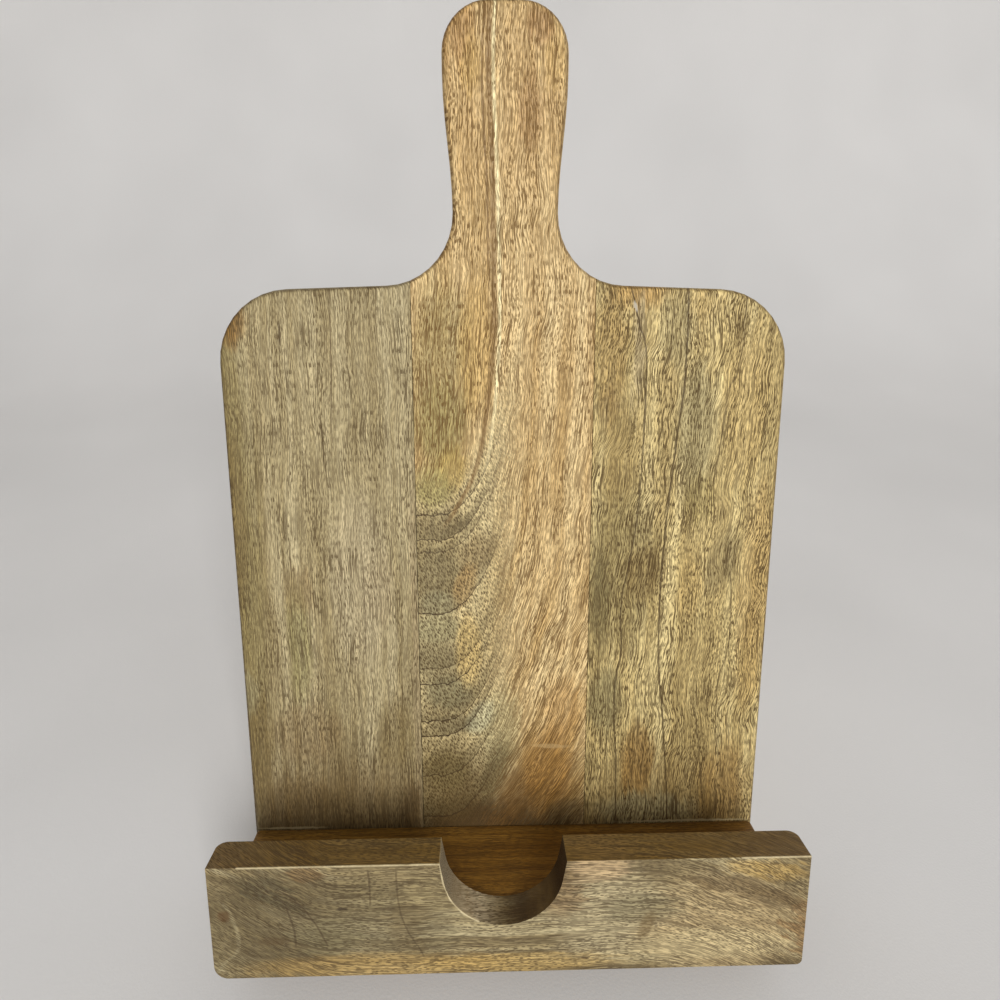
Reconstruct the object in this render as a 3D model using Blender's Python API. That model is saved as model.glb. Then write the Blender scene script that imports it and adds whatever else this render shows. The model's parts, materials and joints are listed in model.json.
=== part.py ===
"""Cookbook stand of mango wood, shaped like a paddle board with a ledge, a lip and a prop leg.

Units are metres and +Z is up. The front faces -Y, the stand rests on z = 0, and the origin is
the centre of the bottom of its bounding box.

The pieces of the stand are drawn upright in the lean frame and then leaned back together. In that
frame X runs across the board, Y runs backwards from the board's front face, and Z runs up the
board from its square bottom end. The prop leg hangs from the leg pivot, an empty on the hinge
pin's axis, and is drawn folded flat against the board before the pivot turns it open.
"""

import math

import bmesh
import bpy

# The board: three planks glued edge to edge, the middle one running up into the handle
BOARD_WIDTH = 0.284
BOARD_LENGTH = 0.4485
BOARD_THICKNESS = 0.019
CENTRE_PLANK_WIDTH = 0.0913
CENTRE_PLANK_OFFSET = -0.0010
BOARD_ARRIS = 0.0025
HEEL_FLAT = 0.010
LEAN = math.radians(18)

# The board's outline: shoulders that fall gently outwards, and a waisted handle
SHOULDER_HEIGHT = 0.3241
SHOULDER_FALL = math.radians(1.9)
SHOULDER_RADIUS = 0.036
NECK_FILLET = 0.034
NECK_HALF_WIDTH = 0.0255
HANDLE_HALF_WIDTH = 0.0296
HANDLE_SWELL_LENGTH = 0.062
HANDLE_CORNER_RADIUS = 0.022

# The ledge and the lip
LEDGE_WIDTH = 0.281
LEDGE_DEPTH = 0.0575
LEDGE_THICKNESS = 0.025
LEDGE_CORNER_RADIUS = 0.0025
LIP_THICKNESS = 0.019
LIP_HEIGHT = 0.0595
LIP_BACK_RADIUS = 0.005
LIP_LEFT_FOOT_RADIUS = 0.0065
LIP_RIGHT_FOOT_RADIUS = 0.0028
LEDGE_ARRIS = 0.0009
NOTCH_RADIUS = 0.0282
NOTCH_OFFSET = -0.0038
NOTCH_FLOOR = 0.001
NOTCH_SPLAY = math.radians(10)

# Fastenings of the ledge: screws through the back of the board, dowels behind the lip
LEDGE_SCREW_LENGTH = 0.045
LEDGE_SCREW_HEAD_RADIUS = 0.0042
LEDGE_SCREW_SHANK_RADIUS = 0.0021
LEDGE_SCREW_SINK = 0.0005
LEDGE_SCREW_SHARES = (-0.40, -0.10, 0.10, 0.40)
DOWEL_LENGTH = 0.032
DOWEL_RADIUS = 0.004
DOWEL_CHAMFER = 0.0008
DOWEL_DEPTH_IN_LIP = 0.012
DOWEL_SHARES = (-0.38, -0.14, 0.14, 0.38)

# The prop leg
PIN_HEIGHT = 0.250
OPENING = math.radians(27)
LEG_THICKNESS = 0.016
LEG_TOP_WIDTH = 0.066
LEG_FOOT_WIDTH = 0.054
LEG_ARRIS = 0.0016

# The butt hinge and its screws
HINGE_WIDTH = 0.050
LEAF_HEIGHT = 0.022
LEAF_THICKNESS = 0.0013
KNUCKLE_RADIUS = 0.0025
KNUCKLE_COUNT = 5
PIN_RADIUS = 0.0012
PIN_CLEARANCE = 0.00015
PIN_HEAD_RADIUS = 0.0019
PIN_HEAD_THICKNESS = 0.0008
LEAF_SCREW_LENGTH = 0.010
LEAF_SCREW_HEAD_RADIUS = 0.0027
LEAF_SCREW_SHANK_RADIUS = 0.0014
LEAF_SCREW_SINK = 0.00005
LEAF_SCREW_PLACE_SHARES = ((-0.36, 0.66), (0.0, 0.40), (0.36, 0.66))

# Cross recess of a screw head, as shares of the head's radius
RECESS_SPAN_SHARE = 0.58
RECESS_SLOT_SHARE = 0.17
RECESS_DEPTH_SHARE = 0.36
SCREW_TIP_SHARE = 2.2

# Clearances and cutting allowances
GLUE_GAP = 0.0003
RUNNING_GAP = 0.0003
SCREW_CLEARANCE = 0.00025
OVERRUN = 0.004
WELD_DISTANCE = 0.000001

# Fineness of round shapes
ARC_STEPS = 9
NOTCH_STEPS = 22
SWELL_STEPS = 6
ARRIS_SEGMENTS = 3
SCREW_SIDES = 16
DOWEL_SIDES = 20
BARREL_SIDES = 20

# Sizes that follow from the ones above
LEDGE_FRONT = -LEDGE_DEPTH
LIP_FRONT = LEDGE_FRONT - LIP_THICKNESS
NOTCH_CENTRE_HEIGHT = LEDGE_THICKNESS + NOTCH_FLOOR + NOTCH_RADIUS
SEAMS = (
    CENTRE_PLANK_OFFSET - CENTRE_PLANK_WIDTH / 2,
    CENTRE_PLANK_OFFSET + CENTRE_PLANK_WIDTH / 2,
)
TABLE_LEVEL = -(BOARD_THICKNESS - HEEL_FLAT * math.cos(LEAN)) * math.sin(LEAN)
LEG_TILT = OPENING - LEAN
PIN_LEVEL = PIN_HEIGHT * math.cos(LEAN) - BOARD_THICKNESS * math.sin(LEAN) - TABLE_LEVEL


def clear_scene():
    """Remove every object that the file opened with."""
    for item in list(bpy.data.objects):
        bpy.data.objects.remove(item, do_unlink=True)


def principled(name, colour, roughness, metallic=0.0):
    """A material with one Principled BSDF."""
    made = bpy.data.materials.new(name)
    made.use_nodes = True
    shader = made.node_tree.nodes["Principled BSDF"]
    shader.inputs["Base Color"].default_value = (*colour, 1.0)
    shader.inputs["Roughness"].default_value = roughness
    shader.inputs["Metallic"].default_value = metallic
    made.diffuse_color = (*colour, 1.0)
    return made


def empty(name, parent=None, location=(0, 0, 0), tilt=0.0):
    """An empty that carries pieces, turned about X by its tilt."""
    made = bpy.data.objects.new(name, None)
    bpy.context.collection.objects.link(made)
    made.parent = parent
    made.location = location
    made.rotation_euler = (tilt, 0, 0)
    return made


def piece(name, bm, parent, material=None, location=(0, 0, 0), rotation=(0, 0, 0), smooth=None):
    """Turn a bmesh into an object; smooth is the angle below which edges are shaded smooth."""
    mesh = bpy.data.meshes.new(name)
    bm.to_mesh(mesh)
    bm.free()
    made = bpy.data.objects.new(name, mesh)
    bpy.context.collection.objects.link(made)
    made.parent = parent
    made.location = location
    made.rotation_euler = rotation
    if material:
        mesh.materials.append(material)
    if smooth:
        mesh.shade_smooth()
        mesh.set_sharp_from_angle(angle=smooth)
    return made


def cutter(name, bm, parent, location=(0, 0, 0), rotation=(0, 0, 0)):
    """A solid that only cuts others."""
    made = piece(name, bm, parent, location=location, rotation=rotation)
    made.display_type = "WIRE"
    made.hide_render = True
    return made


def cut(target, tool):
    """Cut a piece with a cutter."""
    made = target.modifiers.new(tool.name, "BOOLEAN")
    made.operation = "DIFFERENCE"
    made.object = tool
    made.solver = "EXACT"


def ease(target, width, segments, limit):
    """Round the edges of a piece that are sharper than the limit."""
    made = target.modifiers.new("arris", "BEVEL")
    made.width = width
    made.segments = segments
    made.limit_method = "ANGLE"
    made.angle_limit = limit


def swept(outline, low, high, along):
    """A closed bmesh: a flat outline swept along the X, Y or Z axis from low to high."""
    corner = {
        "X": lambda a, b, run: (run, a, b),
        "Y": lambda a, b, run: (a, run, b),
        "Z": lambda a, b, run: (a, b, run),
    }[along]
    bm = bmesh.new()
    start = [bm.verts.new(corner(a, b, low)) for a, b in outline]
    end = [bm.verts.new(corner(a, b, high)) for a, b in outline]
    bm.faces.new(start)
    bm.faces.new(end)
    for here in range(len(outline)):
        there = (here + 1) % len(outline)
        bm.faces.new((start[here], start[there], end[there], end[here]))
    bmesh.ops.recalc_face_normals(bm, faces=bm.faces)
    return bm


def block(low, high):
    """A closed box between two corners."""
    (x0, y0, z0), (x1, y1, z1) = low, high
    return swept([(y0, z0), (y1, z0), (y1, z1), (y0, z1)], x0, x1, "X")


def turned(profile, sides):
    """A closed solid of revolution about Z; the profile is (radius, height) from axis to axis."""
    bm = bmesh.new()
    verts = [bm.verts.new((radius, 0, height)) for radius, height in profile]
    edges = [bm.edges.new(pair) for pair in zip(verts, verts[1:])]
    bmesh.ops.spin(bm, geom=verts + edges, cent=(0, 0, 0), axis=(0, 0, 1), angle=math.tau, steps=sides)
    bmesh.ops.remove_doubles(bm, verts=bm.verts, dist=WELD_DISTANCE)
    bmesh.ops.recalc_face_normals(bm, faces=bm.faces)
    return bm


def saw(bm, point, normal):
    """Cut a closed bmesh at a plane, drop what lies on the normal's side and close the cut."""
    everything = bm.verts[:] + bm.edges[:] + bm.faces[:]
    done = bmesh.ops.bisect_plane(
        bm, geom=everything, dist=WELD_DISTANCE, plane_co=point, plane_no=normal, clear_outer=True
    )
    rim = [item for item in done["geom_cut"] if isinstance(item, bmesh.types.BMEdge)]
    bmesh.ops.edgeloop_fill(bm, edges=rim)
    bmesh.ops.recalc_face_normals(bm, faces=bm.faces)


def arc(centre, radius, start, end, steps=ARC_STEPS):
    """Points of a circular arc, both ends included."""
    turns = [start + (end - start) * step / steps for step in range(steps + 1)]
    return [(centre[0] + radius * math.cos(t), centre[1] + radius * math.sin(t)) for t in turns]


def mirrored(points):
    """A half outline on +X followed by its mirror image, in one direction round the shape."""
    return points + [(-x, z) for x, z in reversed(points)]


def board_outline():
    """The whole board seen from the front, as (x, z)."""
    half = BOARD_WIDTH / 2
    across = math.pi / 2 - SHOULDER_FALL
    fall = math.tan(SHOULDER_FALL)
    rise = 1 / math.cos(SHOULDER_FALL)

    corner_x = half - SHOULDER_RADIUS
    corner_z = SHOULDER_HEIGHT - fall * corner_x - rise * SHOULDER_RADIUS
    fillet_x = NECK_HALF_WIDTH + NECK_FILLET
    fillet_z = SHOULDER_HEIGHT - fall * fillet_x + rise * NECK_FILLET
    swell = HANDLE_HALF_WIDTH - NECK_HALF_WIDTH
    head_x = HANDLE_HALF_WIDTH - HANDLE_CORNER_RADIUS
    head_z = BOARD_LENGTH - HANDLE_CORNER_RADIUS

    side = [(half, 0)]
    side += arc((corner_x, corner_z), SHOULDER_RADIUS, 0, across)
    side += reversed(arc((fillet_x, fillet_z), NECK_FILLET, math.pi, math.pi + across))
    for step in range(1, SWELL_STEPS + 1):
        share = step / SWELL_STEPS
        blend = (1 - math.cos(math.pi * share)) / 2
        side.append((NECK_HALF_WIDTH + swell * blend, fillet_z + HANDLE_SWELL_LENGTH * share))
    side += arc((head_x, head_z), HANDLE_CORNER_RADIUS, 0, math.pi / 2)
    return mirrored(side)


def board_blank():
    """The glued-up board with rounded arrises and the flat that it stands on."""
    bm = swept(board_outline(), 0, BOARD_THICKNESS, "Y")
    rims = [
        edge
        for edge in bm.edges
        if abs(edge.verts[0].co.y - edge.verts[1].co.y) < WELD_DISTANCE
        and max(vert.co.z for vert in edge.verts) > WELD_DISTANCE
    ]
    bmesh.ops.bevel(
        bm, geom=rims, offset=BOARD_ARRIS, segments=ARRIS_SEGMENTS, profile=0.5, affect="EDGES"
    )
    heel = (0, BOARD_THICKNESS, HEEL_FLAT * math.sin(LEAN))
    saw(bm, heel, (0, math.sin(LEAN), -math.cos(LEAN)))
    return bm


def make_board(frame, woods):
    """Saw the board into its three planks; returns them from left to right."""
    left, right = SEAMS
    half_gap = GLUE_GAP / 2
    cuts = (
        ("board_left_plank", ((left - half_gap, 1),)),
        ("board_centre_plank", ((left + half_gap, -1), (right - half_gap, 1))),
        ("board_right_plank", ((right + half_gap, -1),)),
    )
    planks = []
    for (name, saws), wood in zip(cuts, woods):
        bm = board_blank()
        for place, side in saws:
            saw(bm, (place, 0, 0), (side, 0, 0))
        planks.append(piece(name, bm, frame, wood, smooth=math.radians(35)))
    return planks


def make_ledge(frame, wood):
    """The ledge, glued and screwed to the board's front face."""
    half = LEDGE_WIDTH / 2
    radius = LEDGE_CORNER_RADIUS
    back = -GLUE_GAP
    front = LEDGE_FRONT + GLUE_GAP
    half_plan = [(half, front)] + arc((half - radius, back - radius), radius, 0, math.pi / 2)
    bm = swept(mirrored(half_plan), 0, LEDGE_THICKNESS, "Z")
    made = piece("ledge", bm, frame, wood, smooth=math.radians(35))
    ease(made, LEDGE_ARRIS, ARRIS_SEGMENTS, math.radians(40))
    return made


def lip_outline():
    """The lip seen from the front, as (x, z), its feet rounded by hand to unequal radii."""
    half = LEDGE_WIDTH / 2
    left, right = LIP_LEFT_FOOT_RADIUS, LIP_RIGHT_FOOT_RADIUS
    right_foot = arc((half - right, right), right, -math.pi / 2, 0)
    left_foot = arc((left - half, left), left, -math.pi, -math.pi / 2)
    return right_foot + [(half, LIP_HEIGHT), (-half, LIP_HEIGHT)] + left_foot


def notch_outline():
    """The notch in the lip's top edge as (x, z): a half round whose sides splay out above it."""
    top = max(LIP_HEIGHT, NOTCH_CENTRE_HEIGHT) + OVERRUN
    centre = (NOTCH_OFFSET, NOTCH_CENTRE_HEIGHT)
    bowl = arc(centre, NOTCH_RADIUS, -NOTCH_SPLAY, NOTCH_SPLAY - math.pi, NOTCH_STEPS)
    splay = (top - bowl[0][1]) * math.tan(NOTCH_SPLAY)
    return bowl + [(bowl[-1][0] - splay, top), (bowl[0][0] + splay, top)]


def corner_outline(side):
    """What rounds a back corner of the lip, seen from above, as (x, y); side is 1 or -1."""
    middle_x = LEDGE_WIDTH / 2 - LIP_BACK_RADIUS
    middle_y = LEDGE_FRONT - LIP_BACK_RADIUS
    outer_x = LEDGE_WIDTH / 2 + OVERRUN
    outer_y = LEDGE_FRONT + OVERRUN
    rounding = arc((middle_x, middle_y), LIP_BACK_RADIUS, 0, math.pi / 2)
    waste = rounding + [(middle_x, outer_y), (outer_x, outer_y), (outer_x, middle_y)]
    return [(side * x, y) for x, y in waste]


def make_lip(frame, wood):
    """The lip: its front outline less the notch, with its back corners rounded in plan."""
    body = swept(lip_outline(), LIP_FRONT, LEDGE_FRONT, "Y")
    made = piece("lip", body, frame, wood, smooth=math.radians(35))
    bowl = swept(notch_outline(), LIP_FRONT - OVERRUN, LEDGE_FRONT + OVERRUN, "Y")
    cut(made, cutter("lip_notch_cutter", bowl, frame))
    for name, side in (("right", 1), ("left", -1)):
        waste = swept(corner_outline(side), -OVERRUN, LIP_HEIGHT + OVERRUN, "Z")
        cut(made, cutter(f"lip_{name}_corner_cutter", waste, frame))
    ease(made, LEDGE_ARRIS, ARRIS_SEGMENTS, math.radians(40))
    return made


def screw_profile(length, head_radius, shank_radius, clearance=0.0, above=0.0):
    """A countersunk screw pointing down from z = 0, or the hole for it."""
    tip = shank_radius * SCREW_TIP_SHARE
    profile = [
        (0, -length - clearance),
        (shank_radius + clearance, tip - length),
        (shank_radius + clearance, shank_radius - head_radius),
        (head_radius + clearance, 0),
    ]
    if above:
        profile.append((head_radius + clearance, above))
    return profile + [(0, above)]


def cross_outline(head_radius):
    """The cross recess of a screw head, as (x, y)."""
    span = head_radius * RECESS_SPAN_SHARE
    slot = head_radius * RECESS_SLOT_SHARE
    arm = [(span, -slot), (span, slot), (slot, slot)]
    points = []
    for quarter in range(4):
        turn = quarter * math.pi / 2
        ca, sa = round(math.cos(turn)), round(math.sin(turn))
        points += [(x * ca - y * sa, x * sa + y * ca) for x, y in arm]
    return points


def drive_screw(name, frame, metal, place, tilt, sizes, targets):
    """One countersunk screw with a cross recess, and the hole it makes in each target."""
    length, head_radius, shank_radius = sizes
    rotation = (tilt, 0, 0)
    body = turned(screw_profile(*sizes), SCREW_SIDES)
    made = piece(name, body, frame, metal, place, rotation, smooth=math.radians(35))
    depth = head_radius * RECESS_DEPTH_SHARE
    recess = swept(cross_outline(head_radius), -depth, OVERRUN, "Z")
    cut(made, cutter(f"{name}_recess_cutter", recess, frame, place, rotation))
    hole = turned(screw_profile(*sizes, SCREW_CLEARANCE, OVERRUN), SCREW_SIDES)
    hole_cutter = cutter(f"{name}_hole_cutter", hole, frame, place, rotation)
    for target in targets:
        cut(target, hole_cutter)
    return made


def make_ledge_screws(frame, planks, ledge, metal):
    """Screws through the back of the board into the middle of the ledge's edge."""
    sizes = (LEDGE_SCREW_LENGTH, LEDGE_SCREW_HEAD_RADIUS, LEDGE_SCREW_SHANK_RADIUS)
    left, right = SEAMS
    for number, share in enumerate(LEDGE_SCREW_SHARES, 1):
        x = share * BOARD_WIDTH
        plank = planks[0] if x < left else planks[2] if x > right else planks[1]
        place = (x, BOARD_THICKNESS - LEDGE_SCREW_SINK, LEDGE_THICKNESS / 2)
        drive_screw(f"ledge_screw_{number}", frame, metal, place, -math.pi / 2, sizes, (plank, ledge))


def dowel_profile(clearance=0.0):
    """A dowel along Z, centred, or the hole for it."""
    radius = DOWEL_RADIUS + clearance
    half = DOWEL_LENGTH / 2 + clearance
    neck = radius - DOWEL_CHAMFER
    shoulder = half - DOWEL_CHAMFER
    return [(0, -half), (neck, -half), (radius, -shoulder), (radius, shoulder), (neck, half), (0, half)]


def make_dowels(frame, ledge, lip, wood):
    """Dowels that pin the lip to the ledge's front edge."""
    middle = LEDGE_FRONT - DOWEL_DEPTH_IN_LIP + DOWEL_LENGTH / 2
    rotation = (-math.pi / 2, 0, 0)
    for number, share in enumerate(DOWEL_SHARES, 1):
        name = f"lip_dowel_{number}"
        place = (share * LEDGE_WIDTH, middle, LEDGE_THICKNESS / 2)
        body = turned(dowel_profile(), DOWEL_SIDES)
        piece(name, body, frame, wood, place, rotation, smooth=math.radians(35))
        hole = turned(dowel_profile(GLUE_GAP), DOWEL_SIDES)
        hole_cutter = cutter(f"{name}_hole_cutter", hole, frame, place, rotation)
        cut(ledge, hole_cutter)
        cut(lip, hole_cutter)


def make_leg(pivot, wood):
    """The prop leg, drawn folded: its front face lies against the board, its top end is bevelled.

    The bevel closes against the board when the leg is open, which stops it there, and the foot
    is cut to stand flat on the table.
    """
    front = RUNNING_GAP
    back = front + LEG_THICKNESS
    foot_z = -(PIN_LEVEL + back * math.sin(LEG_TILT)) / math.cos(LEG_TILT)
    top_z = back / math.tan(OPENING)
    foot, top = LEG_FOOT_WIDTH / 2, LEG_TOP_WIDTH / 2
    plan = [(foot, foot_z - OVERRUN), (top, top_z), (-top, top_z), (-foot, foot_z - OVERRUN)]
    bm = swept(plan, front, back, "Y")
    heel = (0, front * math.cos(OPENING), -front * math.sin(OPENING))
    saw(bm, heel, (0, -math.cos(OPENING), math.sin(OPENING)))
    level = (0, -PIN_LEVEL * math.sin(LEG_TILT), -PIN_LEVEL * math.cos(LEG_TILT))
    saw(bm, level, (0, -math.sin(LEG_TILT), -math.cos(LEG_TILT)))
    made = piece("prop_leg", bm, pivot, wood, smooth=math.radians(35))
    ease(made, LEG_ARRIS, ARRIS_SEGMENTS, math.radians(40))
    return made


def leaf_blank(face):
    """A hinge leaf's section swept to its full width; face is 1 for the leaf that lies at +Y.

    The pin's axis is the frame's X axis. The leaf's plate rises from the barrel along Z.
    """
    near = RUNNING_GAP if face > 0 else 0.0
    far = near + LEAF_THICKNESS
    start = -math.asin(near / KNUCKLE_RADIUS)
    end = math.tau - math.asin(far / KNUCKLE_RADIUS)
    barrel = arc((0, 0), KNUCKLE_RADIUS, start, end, BARREL_SIDES)
    section = [(-face * across, up) for up, across in barrel]
    section += [(face * far, LEAF_HEIGHT), (face * near, LEAF_HEIGHT)]
    return swept(section, -HINGE_WIDTH / 2, HINGE_WIDTH / 2, "X")


def make_leaf(name, frame, face, metal):
    """One leaf of the butt hinge: the blank less the other leaf's knuckles and the pin's bore."""
    made = piece(name, leaf_blank(face), frame, metal, smooth=math.radians(35))
    knuckle = HINGE_WIDTH / KNUCKLE_COUNT
    reach = KNUCKLE_RADIUS + RUNNING_GAP
    own = 1 if face > 0 else 0
    for number in range(KNUCKLE_COUNT):
        if number % 2 == own:
            continue
        low = number * knuckle - HINGE_WIDTH / 2
        high = low + knuckle
        low -= RUNNING_GAP / 2 if number else OVERRUN
        high += RUNNING_GAP / 2 if number < KNUCKLE_COUNT - 1 else OVERRUN
        bm = block((low, -reach, -reach), (high, reach, reach))
        cut(made, cutter(f"{name}_gap_cutter_{number + 1}", bm, frame))
    radius = PIN_RADIUS + PIN_CLEARANCE
    half = HINGE_WIDTH / 2 + OVERRUN
    bore = turned([(0, -half), (radius, -half), (radius, half), (0, half)], SCREW_SIDES)
    cut(made, cutter(f"{name}_bore_cutter", bore, frame, rotation=(0, math.pi / 2, 0)))
    return made


def make_pin(frame, metal):
    """The hinge pin, peened over at both ends."""
    neck = HINGE_WIDTH / 2 + RUNNING_GAP
    end = neck + PIN_HEAD_THICKNESS
    head, shank = PIN_HEAD_RADIUS, PIN_RADIUS
    half_profile = [(shank, neck), (head, neck), (head, end), (0, end)]
    profile = [(radius, -height) for radius, height in reversed(half_profile)] + half_profile
    body = turned(profile, SCREW_SIDES)
    rotation = (0, math.pi / 2, 0)
    return piece("hinge_pin", body, frame, metal, rotation=rotation, smooth=math.radians(35))


def seat_hinge(frame, face, target):
    """Cut the shallow seat of a hinge leaf, and the channel for its barrel, into a wooden piece."""
    near = RUNNING_GAP if face > 0 else 0.0
    half = HINGE_WIDTH / 2 + RUNNING_GAP
    floor = face * (near + LEAF_THICKNESS + RUNNING_GAP)
    mouth = face * (near - OVERRUN)
    low = (-half, min(floor, mouth), 0)
    high = (half, max(floor, mouth), LEAF_HEIGHT + RUNNING_GAP)
    cut(target, cutter(f"{target.name}_leaf_seat_cutter", block(low, high), frame))
    radius = KNUCKLE_RADIUS + RUNNING_GAP
    half = HINGE_WIDTH / 2 + RUNNING_GAP + PIN_HEAD_THICKNESS + RUNNING_GAP
    bm = turned([(0, -half), (radius, -half), (radius, half), (0, half)], BARREL_SIDES)
    channel = cutter(f"{target.name}_barrel_cutter", bm, frame, rotation=(0, math.pi / 2, 0))
    cut(target, channel)


def make_leaf_screws(name, frame, face, leaf, target, metal):
    """Three countersunk screws that hold a hinge leaf to the wood behind it."""
    sizes = (LEAF_SCREW_LENGTH, LEAF_SCREW_HEAD_RADIUS, LEAF_SCREW_SHANK_RADIUS)
    surface = RUNNING_GAP if face > 0 else 0.0
    tilt = face * math.pi / 2
    for number, (across, up) in enumerate(LEAF_SCREW_PLACE_SHARES, 1):
        depth = face * (surface + LEAF_SCREW_SINK)
        place = (across * HINGE_WIDTH, depth, up * LEAF_HEIGHT)
        drive_screw(f"{name}_{number}", frame, metal, place, tilt, sizes, (leaf, target))


def main():
    """Build the whole stand, open and leaning on its prop leg."""
    clear_scene()
    left_wood = principled("left_plank_wood", (0.40, 0.32, 0.19), 0.55)
    centre_wood = principled("centre_plank_wood", (0.52, 0.38, 0.20), 0.55)
    right_wood = principled("right_plank_wood", (0.37, 0.28, 0.13), 0.55)
    ledge_wood = principled("ledge_wood", (0.30, 0.20, 0.09), 0.55)
    lip_wood = principled("lip_wood", (0.42, 0.33, 0.19), 0.55)
    leg_wood = principled("leg_wood", (0.45, 0.34, 0.19), 0.6)
    dowel_wood = principled("dowel_wood", (0.62, 0.48, 0.30), 0.7)
    brass = principled("hinge_brass", (0.60, 0.43, 0.17), 0.35, 1.0)
    screw_metal = principled("screw_metal", (0.55, 0.50, 0.36), 0.35, 1.0)

    front = LIP_FRONT * math.cos(LEAN)
    rear = BOARD_THICKNESS * math.cos(LEAN) + BOARD_LENGTH * math.sin(LEAN)
    lean_frame = empty("lean_frame", None, (0, -(front + rear) / 2, -TABLE_LEVEL), -LEAN)
    pin_place = (0, BOARD_THICKNESS, PIN_HEIGHT)
    board_hinge_frame = empty("board_hinge_frame", lean_frame, pin_place)
    leg_pivot = empty("leg_pivot", lean_frame, pin_place, OPENING)
    leg_hinge_frame = empty("leg_hinge_frame", leg_pivot, tilt=-OPENING)

    planks = make_board(lean_frame, (left_wood, centre_wood, right_wood))
    ledge = make_ledge(lean_frame, ledge_wood)
    lip = make_lip(lean_frame, lip_wood)
    make_ledge_screws(lean_frame, planks, ledge, screw_metal)
    make_dowels(lean_frame, ledge, lip, dowel_wood)
    leg = make_leg(leg_pivot, leg_wood)

    seat_hinge(board_hinge_frame, -1, planks[1])
    seat_hinge(leg_hinge_frame, 1, leg)
    board_leaf = make_leaf("hinge_board_leaf", board_hinge_frame, -1, brass)
    leg_leaf = make_leaf("hinge_leg_leaf", leg_hinge_frame, 1, brass)
    make_pin(board_hinge_frame, brass)
    make_leaf_screws("board_leaf_screw", board_hinge_frame, -1, board_leaf, planks[1], screw_metal)
    make_leaf_screws("leg_leaf_screw", leg_hinge_frame, 1, leg_leaf, leg, screw_metal)


main()
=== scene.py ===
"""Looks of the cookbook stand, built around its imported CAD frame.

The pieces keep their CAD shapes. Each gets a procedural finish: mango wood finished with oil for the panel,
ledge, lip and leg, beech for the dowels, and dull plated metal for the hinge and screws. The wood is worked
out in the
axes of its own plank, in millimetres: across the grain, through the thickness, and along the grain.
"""

import functools
import json
import logging
import math
from dataclasses import dataclass, field
from enum import Enum
from typing import ClassVar, Union

import bpy
from mathutils import Matrix, Vector


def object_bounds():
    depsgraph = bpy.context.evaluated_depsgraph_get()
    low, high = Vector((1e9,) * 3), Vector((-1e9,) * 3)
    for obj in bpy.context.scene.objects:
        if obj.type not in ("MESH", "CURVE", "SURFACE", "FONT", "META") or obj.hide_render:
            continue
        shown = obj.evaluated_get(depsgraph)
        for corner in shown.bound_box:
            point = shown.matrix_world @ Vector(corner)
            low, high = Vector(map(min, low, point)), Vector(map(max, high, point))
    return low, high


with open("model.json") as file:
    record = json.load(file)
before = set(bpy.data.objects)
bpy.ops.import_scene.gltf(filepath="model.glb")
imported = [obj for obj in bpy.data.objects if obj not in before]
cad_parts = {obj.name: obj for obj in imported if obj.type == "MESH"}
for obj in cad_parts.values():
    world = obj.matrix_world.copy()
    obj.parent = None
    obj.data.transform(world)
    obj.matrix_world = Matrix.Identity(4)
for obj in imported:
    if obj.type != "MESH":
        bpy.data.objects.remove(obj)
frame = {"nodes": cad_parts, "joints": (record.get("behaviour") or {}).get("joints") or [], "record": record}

LOG = logging.getLogger("cookbook_stand")
CAD_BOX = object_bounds()
MILLIMETRES = 1000.0

Term = Union["Value", float, int]
Paint = tuple[float, float, float]
Stops = list[tuple[float, Paint]]
Place = tuple["Value", "Value", "Value"]


def paint(red: int, green: int, blue: int) -> Paint:
    """A colour as a painter's chart gives it, turned into the light that it sends back.

    Args:
        red: Red from 0 to 255.
        green: Green from 0 to 255.
        blue: Blue from 0 to 255.

    Returns:
        The linear colour.
    """
    step, slope, toe, power = 0.04045, 12.92, 0.055, 2.4
    parts = (part / 255 for part in (red, green, blue))
    return tuple(p / slope if p <= step else ((p + toe) / (1 + toe)) ** power for p in parts)


class Output:
    """One output socket of a node, with the tree that it belongs to."""

    def __init__(self, tree: "Tree", socket: bpy.types.NodeSocket) -> None:
        """Wraps the socket."""
        self.tree = tree
        self.socket = socket


class Value(Output):
    """A number that varies over a surface, so that shader maths reads as plain sums."""

    def __add__(self, other: Term) -> "Value":
        """The sum."""
        return self.tree.maths("ADD", self, other)

    def __radd__(self, other: Term) -> "Value":
        """The sum, the other way round."""
        return self.tree.maths("ADD", other, self)

    def __sub__(self, other: Term) -> "Value":
        """The difference."""
        return self.tree.maths("SUBTRACT", self, other)

    def __rsub__(self, other: Term) -> "Value":
        """The difference, the other way round."""
        return self.tree.maths("SUBTRACT", other, self)

    def __mul__(self, other: Term) -> "Value":
        """The product."""
        return self.tree.maths("MULTIPLY", self, other)

    def __rmul__(self, other: Term) -> "Value":
        """The product, the other way round."""
        return self.tree.maths("MULTIPLY", other, self)

    def __truediv__(self, other: Term) -> "Value":
        """The quotient."""
        return self.tree.maths("DIVIDE", self, other)

    def __abs__(self) -> "Value":
        """The size without the sign."""
        return self.tree.maths("ABSOLUTE", self)

    def at_least(self, other: Term) -> "Value":
        """The larger of this and the other."""
        return self.tree.maths("MAXIMUM", self, other)

    def at_most(self, other: Term) -> "Value":
        """The smaller of this and the other."""
        return self.tree.maths("MINIMUM", self, other)

    def rise(self, start: float, end: float) -> "Value":
        """Runs smoothly from 0 to 1.

        Args:
            start: Where the result is 0.
            end: Where the result is 1. It may be less than start.

        Returns:
            The smooth step.
        """
        sockets = {"Value": self, "From Min": start, "From Max": end, "To Min": 0.0, "To Max": 1.0}
        node = self.tree.node("ShaderNodeMapRange", {"interpolation_type": "SMOOTHSTEP"}, sockets)
        return Value(self.tree, node.outputs["Result"])


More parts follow.
